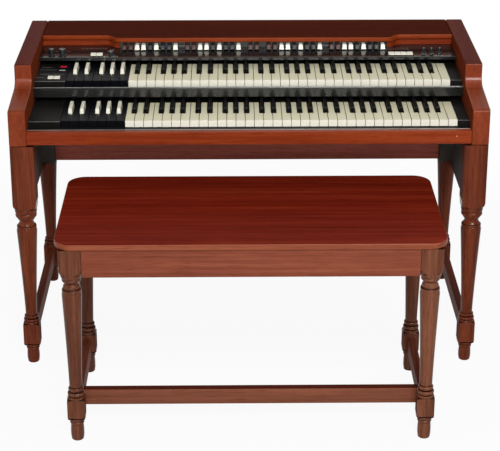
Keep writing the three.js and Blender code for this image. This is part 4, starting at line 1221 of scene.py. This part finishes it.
@dataclass
class Case:
    """The wooden case with its trims; board roundings are in millimetres."""

    trim_height: float = 2.0 * MM
    trim_depth: float = 2.5 * MM
    slip_trim_depth: float = 3.5 * MM
    trim_rounding: float = 0.4 * MM
    fascia_trim_back: float = 2.4 * MM
    shelf_trim_front: float = 1.2 * MM
    shelf_trim_drop: float = 1.8 * MM
    slip_trim_back: float = 0.4 * MM
    block_drop: float = 2.0 * MM
    block_gap: float = 1.0 * MM
    edge_depth: Pair = (0.5 * MM, 1.4 * MM)
    edge_height: Pair = (1.1 * MM, 0.3 * MM)
    edge_rounding: float = 0.3 * MM
    hollow_front: float = 30.0 * MM
    hollow_back: float = 80.0 * MM
    hollow_slope: float = 0.2
    pin_x: float = 524.0 * MM
    pin_up: float = 20.0 * MM
    pin_sink: float = 0.5 * MM
    pin_profile: Sequence[Pair] = ((0.0, 0.0), (1.8, 0.0), (1.8, 0.8), (1.2, 1.3), (0.0, 1.3))
    boards: Sequence[Tuple[str, Finish, float, int]] = (
        ("upper_rail", RAIL_WOOD, 0.8, 2), ("keyslip", RAIL_WOOD, 1.8, 3),
        ("bottom_board", APRON_WOOD, 1.0, 2), ("back_panel", APRON_WOOD, 1.0, 2),
        ("rear_apron", REAR_APRON, 1.5, 2), ("manual_fascia", FASCIA, 0.8, 2))

    def trim(self, name: str, front: float, bottom: float, depth: float, finish: Finish = TRIM) -> None:
        """Make a thin bright strip across the organ."""
        low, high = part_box("manual_fascia")
        Form.bar((low.x, front, bottom), (high.x, front + depth, bottom + self.trim_height),
                 self.trim_rounding).piece(name, finish, CONSOLE)

    def in_hollow(self, face: Any) -> bool:
        """Tell whether a face lies in a cheek's hollow curve."""
        return (face.normal.y < -self.hollow_slope and face.normal.z > self.hollow_slope
                and self.hollow_front < face.calc_center_median().y < self.hollow_back)

    def block_edges(self, manual: str) -> None:
        """Lay a thin bright edge along the front of a manual's end blocks."""
        keys_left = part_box(f"{manual}_preset_naturals")[0].x
        keys_low, keys_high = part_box(f"{manual}_naturals")
        low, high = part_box(f"{manual}_manual_frame")
        top = keys_high.z - self.block_drop
        for side, left, right in zip(SIDES, (low.x, keys_high.x), (keys_left, high.x)):
            Form.bar((left + self.block_gap, keys_low.y - self.edge_depth[0], top - self.edge_height[0]),
                     (right - self.block_gap, keys_low.y + self.edge_depth[1], top + self.edge_height[1]),
                     self.edge_rounding).piece(f"{manual}_{side}_block_edge", EDGE_TRIM, CONSOLE)

    def build(self) -> None:
        """Make the boards, the fascia and the trims."""
        under_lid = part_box("top_lid")[0].z
        # The cheeks carry painted light and shade: a lighter hollow for its highlight, darker up-facing tops
        # and slightly darker sides.
        cheek_accents = [(CHEEK_HOLLOW_LIT, self.in_hollow), (CHEEK_SIDE_SHADED, sideways(0.95)),
                         (CHEEK_TOP_SHADED, facing("z", 1, 0.35, under_lid))]
        for side in SIDES:
            dressed(f"{side}_cheek", CHEEK_WOOD, 5.0, segments=5, accents=cheek_accents)
            dressed(f"{side}_side_frame", SIDE_STEEL, 1.2)
            dressed(f"{side}_stretcher", STRETCHER_WOOD, 1.5)
        # The lid's front edges take the lighter copy and the rest the darker one, as painted light and shade.
        dressed("top_lid", LID_WOOD, 3.0, segments=4, accents=[(LID_EDGE_LIT, facing("y", -1, 0.3))])
        for node, finish, width, segments in self.boards:
            dressed(node, finish, width, segments=segments)
        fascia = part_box("manual_fascia")[1]
        self.trim("fascia_trim", fascia.y - self.fascia_trim_back, fascia.z, self.trim_depth)
        shelf = ControlShelf()
        shelf_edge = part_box("control_shelf")[1].z - shelf.rise
        self.trim("shelf_trim", shelf.front() - self.shelf_trim_front, shelf_edge - self.shelf_trim_drop,
                  self.trim_depth, SHELF_TRIM)
        slip_low, slip_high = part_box("keyslip")
        self.trim("keyslip_trim", slip_high.y + self.slip_trim_back, slip_high.z - self.trim_height,
                  self.slip_trim_depth)
        self.block_edges("upper")
        self.block_edges("lower")
        pin = Form()
        spot = Matrix.Translation((self.pin_x, slip_low.y + self.pin_sink, slip_low.z + self.pin_up))
        pin.turned([(radius * MM, height * MM) for radius, height in self.pin_profile], 20,
                   spot @ Matrix.Rotation(math.pi / 2, 4, "X"))
        pin.piece("keyslip_pin", BRASS, CONSOLE)


@dataclass
class Works:
    """The tonewheel generator, motor, amplifier and inlet inside the case."""

    parts: Sequence[Tuple[str, Finish, float, str, int]] = (
        ("generator_frame", PLATED, 0.4, CONSOLE, 2),
        ("tonewheel_shaft", PLATED, 0.3, "tonewheel_shaft_body", 1),
        ("run_motor", MOTOR, 0.8, CONSOLE, 2), ("amplifier", PLATED, 0.6, CONSOLE, 2),
        ("mains_inlet", PANEL, 0.4, CONSOLE, 2))

    def build(self) -> None:
        """Dress the works."""
        for part in self.parts:
            dressed(*part)


@dataclass
class Bench:
    """The bench: top, aprons, stretchers and legs."""

    corner: float = 45.0 * MM
    corner_steps: int = 10
    edge: float = 3.0 * MM
    board_rounding: float = 1.5
    boards: Sequence[Tuple[str, Finish]] = (
        ("front_apron", BENCH_RAIL), ("rear_apron", BENCH_RAIL), ("left_apron", STRETCHER_WOOD),
        ("left_stretcher", STRETCHER_WOOD), ("right_apron", STRETCHER_WOOD),
        ("right_stretcher", STRETCHER_WOOD))

    def top(self) -> None:
        """Make the top with rounded corners and edges."""
        low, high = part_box("bench_top")
        left, right = low.x + self.corner, high.x - self.corner
        front, rear = low.y + self.corner, high.y - self.corner
        centres = ((right, front), (right, rear), (left, rear), (left, front))
        outline = []
        for number, centre in enumerate(centres):
            outline += arc(centre, self.corner, number * 90 - 90, number * 90, self.corner_steps)
        form = Form()
        form.slab(outline, low.z, high.z)
        form.soften(self.edge, 4, SQUARE_EDGE)
        # The seat's edges and sides take the lighter copy of its wood, as painted light.
        form.piece("bench_seat_board", BENCH_WOOD, BENCH, "bench_top", crease=SLOPED_EDGE,
                   accents=[(BENCH_EDGE_LIT, lambda face: abs(face.normal.z) < 0.8)])

    def build(self) -> None:
        """Make the bench."""
        self.top()
        for name, finish in self.boards:
            dressed(f"bench_{name}", finish, self.board_rounding, BENCH)
        # The long stretcher's top takes the darker copy of its wood, as painted shade.
        dressed("bench_long_stretcher", LOW_RAIL, 2.0, BENCH, 3, [(LOW_RAIL_TOP_SHADED, facing("z", 1))])
        leg = TurnedLeg(
            foot_height=43.0 * MM, ring_top=59.0 * MM, low_block=42.5 * MM, low_block_top=114.0 * MM,
            collar_top=145.0 * MM, shaft_radius=15.4 * MM, bulb_radius=24.0 * MM, bulb_height=389.0 * MM,
            head_drop=10.2 * MM, block_bottom=444.5 * MM, block=53.0 * MM, head=(
                (23.4, 403.8), (22.4, 405.8), (23.0, 407.4), (23.4, 410.8), (22.8, 413.8), (20.9, 415.8),
                (19.8, 417.0), (20.4, 419.0), (20.0, 421.8), (18.9, 424.4), (17.3, 426.8), (16.7, 428.8),
                (17.6, 431.0), (19.4, 433.0), (21.6, 434.6), (22.6, 437.0), (22.6, 439.6), (21.7, 441.8),
                (21.1, 442.7), (23.4, 443.9), (24.8, 446.4), (25.8, 449.8), (26.2, 453.4), (26.0, 456.0)))
        for corner in CORNERS:
            leg.build(f"bench_{corner}_leg", BENCH, BENCH_LEG_WOOD)


@dataclass(frozen=True)
class Softbox:
    """A rectangular soft light that aims at the organ's middle, in metres and watts."""

    name: str
    place: Triple
    aim_height: float
    size: Pair
    power: float
    glossy: bool = True
    diffuse: bool = True

    def hang(self) -> None:
        """Hang the light."""
        data = bpy.data.lights.new(self.name, "AREA")
        data.shape = "RECTANGLE"
        data.size, data.size_y = self.size
        data.energy = self.power
        made = linked(self.name, data)
        aim = Vector((0.0, 0.0, self.aim_height)) - Vector(self.place)
        made.location = self.place
        made.rotation_euler = aim.to_track_quat("-Z", "Y").to_euler()
        made.visible_glossy = self.glossy
        made.visible_diffuse = self.diffuse


@dataclass
class Studio:
    """Floor, backdrop, lights and camera."""

    camera_place: Triple = (-0.0411, -3.948, 2.0575)
    camera_pitch: float = 21.13
    camera_yaw: float = -0.636
    camera_shift: float = -0.12
    camera_reach: float = 60.0
    focal_share: float = 1629.1 / 500.0
    sensor: float = 36.0
    floor_reach: float = 12.0
    floor_shade: Colour = (0.80, 0.80, 0.80)
    floor_colour: Colour = (0.82, 0.82, 0.82)
    near_glow: float = 0.93
    ambient: float = 0.17
    clear_from: float = 0.9
    clear_to: float = 2.2
    softboxes: Sequence[Softbox] = (
        Softbox("key_softbox", (0.4, -3.3, 3.1), 0.45, (1.5, 1.0), 120.0),
        Softbox("front_softbox", (0.0, -4.8, 1.5), 0.45, (1.8, 1.1), 64.0),
        Softbox("left_softbox", (-3.4, -1.0, 1.8), 0.5, (1.6, 1.6), 4.5),
        Softbox("right_softbox", (3.4, -1.0, 1.8), 0.5, (1.6, 1.6), 4.0),
        Softbox("back_softbox", (0.0, 2.6, 3.2), 0.5, (2.2, 1.4), 22.0, glossy=False),
        Softbox("sparkle_softbox", (1.6, -3.0, 2.7), 0.4, (0.6, 0.6), 150.0, diffuse=False))

    def floor_material(self) -> bpy.types.Material:
        """Return the floor's material: pale, and white to the camera away from shadows."""
        shader = Shader(bpy.data.materials.new("studio_floor"))
        tone = shader.clouded(2.0, 2.0, self.floor_shade, self.floor_colour)
        matt = shader.value("ShaderNodeBsdfDiffuse", None, {"Color": tone})
        white = shader.value("ShaderNodeEmission", None, {"Color": (*WHITE, 1.0), "Strength": 1.0})
        reach = shader.value("ShaderNodeVectorMath", {"operation": "LENGTH"}, {0: shader.place()}, "Value")
        far = shader.value("ShaderNodeMapRange", {"interpolation_type": "SMOOTHSTEP"}, {
            "Value": reach, "From Min": self.clear_from, "From Max": self.clear_to,
            "To Min": self.near_glow, "To Max": 1.0})
        both = shader.value("ShaderNodeMixShader", None, {0: shader.shown() * far, 1: matt, 2: white})
        shader.node("ShaderNodeOutputMaterial", None, {"Surface": both})
        return shader.owner

    def floor(self) -> None:
        """Lay the floor."""
        form = bmesh.new()
        bmesh.ops.create_grid(form, x_segments=1, y_segments=1, size=self.floor_reach)
        mesh = bpy.data.meshes.new("studio_floor")
        form.to_mesh(mesh)
        form.free()
        mesh.materials.append(self.floor_material())
        made = linked("studio_floor", mesh)

    def world(self) -> None:
        """Set a soft grey world that the camera sees as white."""
        world = bpy.data.worlds.new("studio_world")
        bpy.context.scene.world = world
        shader = Shader(world)
        plain, white = (shader.value("ShaderNodeBackground", None, {
            "Color": (*WHITE, 1.0), "Strength": strength}) for strength in (self.ambient, 1.0))
        both = shader.value("ShaderNodeMixShader", None, {0: shader.shown(), 1: plain, 2: white})
        shader.node("ShaderNodeOutputWorld", None, {"Surface": both})

    def camera(self) -> None:
        """Set the camera at the photograph's viewing angle."""
        data = bpy.data.cameras.new("studio_camera")
        data.sensor_width = self.sensor
        data.sensor_fit = "HORIZONTAL"
        data.lens = self.focal_share * self.sensor
        data.shift_y = self.camera_shift
        data.clip_end = self.camera_reach
        made = linked("studio_camera", data)
        made.location = self.camera_place
        made.rotation_euler = (math.radians(90.0 - self.camera_pitch), 0.0, math.radians(self.camera_yaw))
        bpy.context.scene.camera = made

    def build(self) -> None:
        """Set the studio up."""
        bpy.context.scene.view_settings.view_transform = "Standard"
        self.camera()
        self.floor()
        self.world()
        for softbox in self.softboxes:
            softbox.hang()


def main() -> None:
    """Build the studio, the organ and the bench in order."""
    logging.basicConfig(level=logging.INFO)
    Studio().build()
    Case().build()
    leg = TurnedLeg()
    for corner in CORNERS:
        leg.build(f"{corner}_leg", CONSOLE, LEG_WOOD)
    Manual("lower").build()
    Manual("upper").build()
    ControlShelf().build()
    DrawbarBay().build()
    Works().build()
    Bench().build()


if __name__ == "__main__":
    main()
